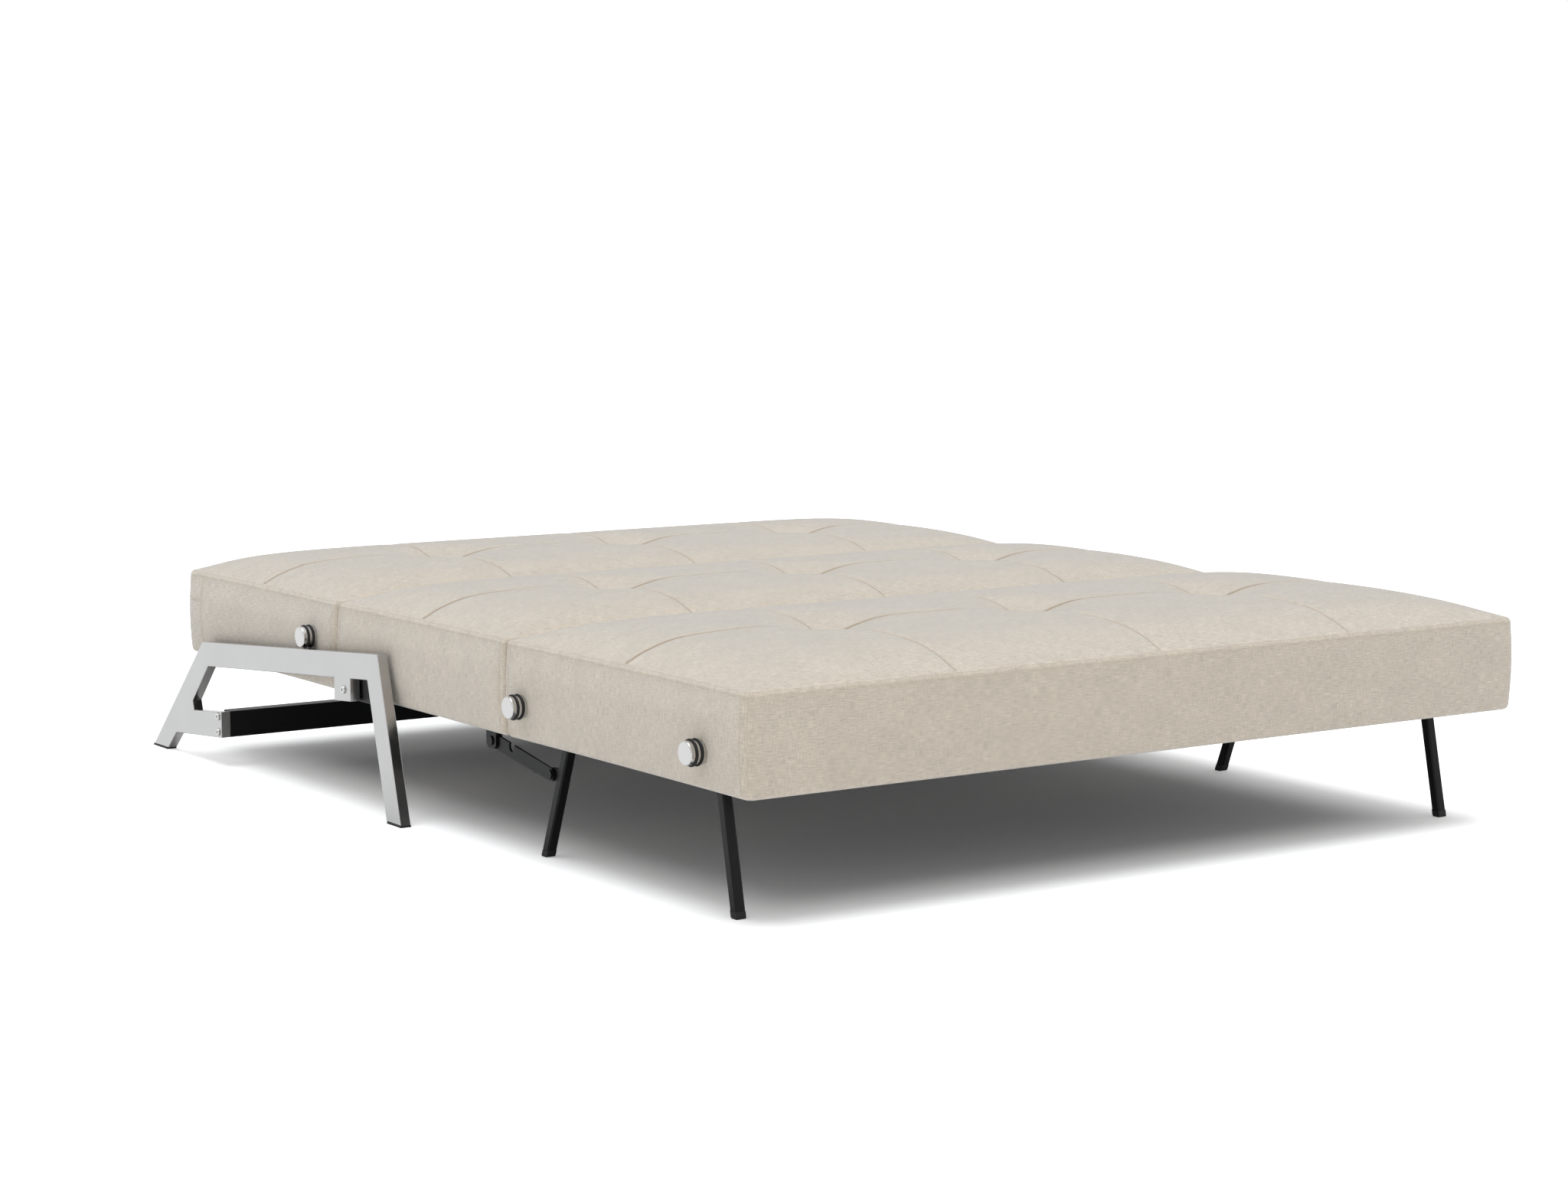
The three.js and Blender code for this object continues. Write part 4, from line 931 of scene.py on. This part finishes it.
def turn(name, profile, centre, side, finish, sides=TURNED_SIDES):
    """A solid turned about a line along X. A profile entry is distance out, radius, and True if six-sided."""
    points = []
    faces = []
    for out, radius, hexagon in profile:
        for k in range(sides):
            angle = 2 * math.pi * k / sides
            reach = radius * (six_sided(angle) if hexagon else 1)
            points.append((centre[0] + side * out, centre[1] + side * reach * math.cos(angle),
                           centre[2] + reach * math.sin(angle)))
    for j in range(len(profile) - 1):
        for k in range(sides):
            a = j * sides + k
            b = j * sides + (k + 1) % sides
            faces.append((a, b, b + sides, a + sides))
    faces.append(tuple(reversed(range(sides))))
    faces.append(tuple(range((len(profile) - 1) * sides, len(profile) * sides)))
    made = new_object(name, points, faces)
    made.data.materials.append(finish)
    smooth(made)
    return made


def arc(centre_out, centre_radius, radius, start, end, steps):
    """Profile entries along a rounded edge, with angles from straight out, in degrees."""
    made = []
    for k in range(steps + 1):
        angle = math.radians(start + (end - start) * k / steps)
        made.append((centre_out + radius * math.cos(angle), centre_radius + radius * math.sin(angle), False))
    return made


KNOB_LENGTH = 29 * MM
KNOB_RADIUS = 18.8 * MM
KNOB_BACK_RADIUS = 19.6 * MM
KNOB_GROOVE_RADIUS = 16.6 * MM
KNOB_EDGE = 2.4 * MM
KNOB_STEM_RADIUS = 5 * MM
KNOB_STEM_REACH = 31 * MM
GROOVE_HALF = 2.1 * MM
RING_SETS = {"outer": 11 * MM, "inner": 20.5 * MM}
RING_WIRE = 2.25 * MM
RING_MIDDLE = 19.2 * MM
LIP = 0.5 * MM
KNOB_STANDS_OFF = 0.3 * MM
KNOB_EDGE_STEPS = 6
KNOB_FACE_SHARE = 0.6
KNOB_FACE_MIDDLE = 1 * MM
RING_SECTION_SIDES = 14


def knob_profile():
    """Stem, back flange, two grooves for the rings, and a face with a rounded edge."""
    inner = KNOB_LENGTH - RING_SETS["inner"]
    outer = KNOB_LENGTH - RING_SETS["outer"]
    profile = [(-KNOB_STEM_REACH, KNOB_STEM_RADIUS, False), (KNOB_STANDS_OFF, KNOB_STEM_RADIUS, False),
               (KNOB_STANDS_OFF, KNOB_BACK_RADIUS - LIP, False),
               (KNOB_STANDS_OFF + LIP, KNOB_BACK_RADIUS, False)]
    for place, shoulder in ((inner, KNOB_BACK_RADIUS), (outer, KNOB_RADIUS)):
        profile += [(place - GROOVE_HALF - LIP, shoulder, False),
                    (place - GROOVE_HALF, shoulder - LIP, False),
                    (place - GROOVE_HALF, KNOB_GROOVE_RADIUS, False),
                    (place + GROOVE_HALF, KNOB_GROOVE_RADIUS, False),
                    (place + GROOVE_HALF, KNOB_RADIUS - LIP, False),
                    (place + GROOVE_HALF + LIP, KNOB_RADIUS, False)]
    profile += arc(KNOB_LENGTH - KNOB_EDGE, KNOB_RADIUS - KNOB_EDGE, KNOB_EDGE, 90, 0, KNOB_EDGE_STEPS)
    profile += [(KNOB_LENGTH, KNOB_RADIUS * KNOB_FACE_SHARE, False), (KNOB_LENGTH, KNOB_FACE_MIDDLE, False)]
    return profile


def ring_object(name, out, centre, side, finish):
    """A rubber ring of round section."""
    points = []
    faces = []
    for k in range(TURNED_SIDES):
        angle = 2 * math.pi * k / TURNED_SIDES
        for j in range(RING_SECTION_SIDES):
            turn_by = 2 * math.pi * j / RING_SECTION_SIDES
            reach = RING_MIDDLE + RING_WIRE * math.cos(turn_by)
            points.append((centre[0] + side * (out + RING_WIRE * math.sin(turn_by)),
                           centre[1] + side * reach * math.cos(angle), centre[2] + reach * math.sin(angle)))
            here = k * RING_SECTION_SIDES
            ahead = (k + 1) % TURNED_SIDES * RING_SECTION_SIDES
            next_j = (j + 1) % RING_SECTION_SIDES
            faces.append((here + j, here + next_j, ahead + next_j, ahead + j))
    made = new_object(name, points, faces)
    made.data.materials.append(finish)
    made.data.shade_smooth()
    return made


def make_knobs():
    """Chrome knobs on the ends of the sections, each with two rubber cord rings in its grooves."""
    for base, body in (("seat_knob", "seat"), ("foot_inner_knob", "foot"), ("foot_outer_knob", "foot")):
        for side, word in ((-1, "left"), (1, "right")):
            node = f"{base}_{word}"
            low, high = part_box(node)
            face = low.x if side < 0 else high.x
            centre = (face - side * KNOB_LENGTH, (low.y + high.y) / 2, (low.z + high.z) / 2)
            made = turn(f"turned_{node}", knob_profile(), centre, side, finishes["bright_metal"])
            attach(made, body)
            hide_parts(node)
            for which, ring_set in RING_SETS.items():
                ring_node = f"{base}_{which}_ring_{word}"
                out = KNOB_LENGTH - ring_set
                ring = ring_object(f"cord_{ring_node}", out, centre, side, finishes["rubber"])
                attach(ring, body)
                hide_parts(ring_node)


BOLT_HEAD_RADIUS = 7.5 * MM
BOLT_HEAD_HEIGHT = 3 * MM
BOLT_SHANK_RADIUS = 5 * MM
BOLT_EDGE = 1.2 * MM
BOLT_SOCKET = 2.5 * MM
BOLT_SOCKET_DEPTH = 2.2 * MM
BOLT_SOCKET_RIM = 1.2 * MM
BOLT_SOCKET_BEVEL = 0.2 * MM
BOLT_SOCKET_FLOOR_SHARE = 0.4
BOLT_EDGE_STEPS = 4
BOLT_SIDES = 48


def make_bolts():
    """Button-head socket screws: one for each pivot, two for each end of the beam."""
    for base in ("back_pivot_bolt", "beam_upper_bolt", "beam_lower_bolt"):
        for side, word in ((-1, "left"), (1, "right")):
            node = f"{base}_{word}"
            low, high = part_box(node)
            top = high.x - low.x
            under = top - BOLT_HEAD_HEIGHT
            inner = high.x if side < 0 else low.x
            centre = (inner, (low.y + high.y) / 2, (low.z + high.z) / 2)
            profile = [(0, BOLT_SHANK_RADIUS, False), (under, BOLT_SHANK_RADIUS, False),
                       (under, BOLT_HEAD_RADIUS, False)]
            profile += arc(top - BOLT_EDGE, BOLT_HEAD_RADIUS - BOLT_EDGE, BOLT_EDGE, 90, 0, BOLT_EDGE_STEPS)
            profile += [(top, BOLT_SOCKET + BOLT_SOCKET_RIM, False),
                        (top - BOLT_SOCKET_BEVEL, BOLT_SOCKET, True),
                        (top - BOLT_SOCKET_DEPTH, BOLT_SOCKET, True),
                        (top - BOLT_SOCKET_DEPTH, BOLT_SOCKET * BOLT_SOCKET_FLOOR_SHARE, False)]
            made = turn(f"socket_{node}", profile, centre, side, finishes["bright_metal"], BOLT_SIDES)
            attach(made, "frames")
            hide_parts(node)


# Dust sheets


SHEET_THICKNESS = 0.8 * MM
SHEET_SAG = 3.5 * MM
SHEET_COLUMNS = 61
SHEET_ROWS = 25
SHEET_BAYS = 3


def make_dust_sheet(section):
    """Thin cloth stretched under a section's base frame, slack by a few millimetres in each bay."""
    node = f"{section}_dust_sheet"
    low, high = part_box(node)
    xs = np.linspace(low.x, high.x, SHEET_COLUMNS)
    ys = np.linspace(low.y, high.y, SHEET_ROWS)
    grid_x, grid_y = np.meshgrid(xs, ys)
    across = np.abs(np.sin(math.pi * (grid_x - low.x) / (high.x - low.x) * SHEET_BAYS)) ** 0.8
    along = np.sin(math.pi * (grid_y - low.y) / (high.y - low.y)) ** 0.6
    grid_z = high.z - SHEET_THICKNESS - SHEET_SAG * across * along
    points = np.stack([grid_x, grid_y, grid_z], -1).reshape(-1, 3)
    made = new_object(f"stretched_{node}", points, grid_faces(SHEET_COLUMNS, SHEET_ROWS))
    made.data.materials.append(finishes["dust_cloth"])
    made.data.shade_smooth()
    wall = made.modifiers.new("wall", "SOLIDIFY")
    wall.thickness = SHEET_THICKNESS
    wall.offset = 1.0
    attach(made, section)
    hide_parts(node)


# The whole sofa bed


make_camera()
make_studio()
finishes = make_materials()
row_nodes = row_tree()

# The CAD pieces that nothing replaces wear their slots' finishes.
SLOT_OF = {row["node"]: row["material_slot"] for row in frame["record"]["subparts"]}
for node_name, cad_object in frame["nodes"].items():
    cad_object.data.materials.clear()
    cad_object.data.materials.append(finishes[SLOT_OF[node_name]])

FOOT_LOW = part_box("foot_cushion")[0].y
FOOT_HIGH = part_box("foot_cushion")[1].y
BACK_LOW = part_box("back_cushion")[0].y
BACK_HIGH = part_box("back_cushion")[1].y
SEAT_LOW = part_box("seat_cushion")[0].y
SEAT_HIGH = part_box("seat_cushion")[1].y
FOOT_GAP = BACK_LOW - FOOT_HIGH
SEAT_GAP = SEAT_LOW - BACK_HIGH

sections = {
    "foot": {"side_seams": [FOOT_HIGH - JOINT_SEAM_INSET], "corner_seam_y": FOOT_LOW, "end_seam_y": None,
             "upright_grain": True, "joint_gaps": (0.0, FOOT_GAP)},
    "back": {"side_seams": [BACK_LOW + JOINT_SEAM_INSET, BACK_HIGH - JOINT_SEAM_INSET], "corner_seam_y": None,
             "end_seam_y": None, "upright_grain": True, "joint_gaps": (FOOT_GAP, SEAT_GAP)},
    "seat": {"side_seams": [SEAT_LOW + JOINT_SEAM_INSET, SEAT_HIGH - END_SEAM_INSET], "corner_seam_y": None,
             "end_seam_y": SEAT_HIGH - END_SEAM_INSET, "upright_grain": False, "joint_gaps": (SEAT_GAP, 0.0)},
}
for section, sewn in sections.items():
    padded, cushion, rings = make_cushion(f"{section}_cushion", **sewn)
    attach(padded, section)
    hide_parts(f"{section}_cushion")
    sew_and_staple(section, cushion, rings, sewn["side_seams"], sewn["corner_seam_y"], sewn["end_seam_y"])

make_knobs()
make_bolts()
make_dust_sheet("seat")
make_dust_sheet("back")
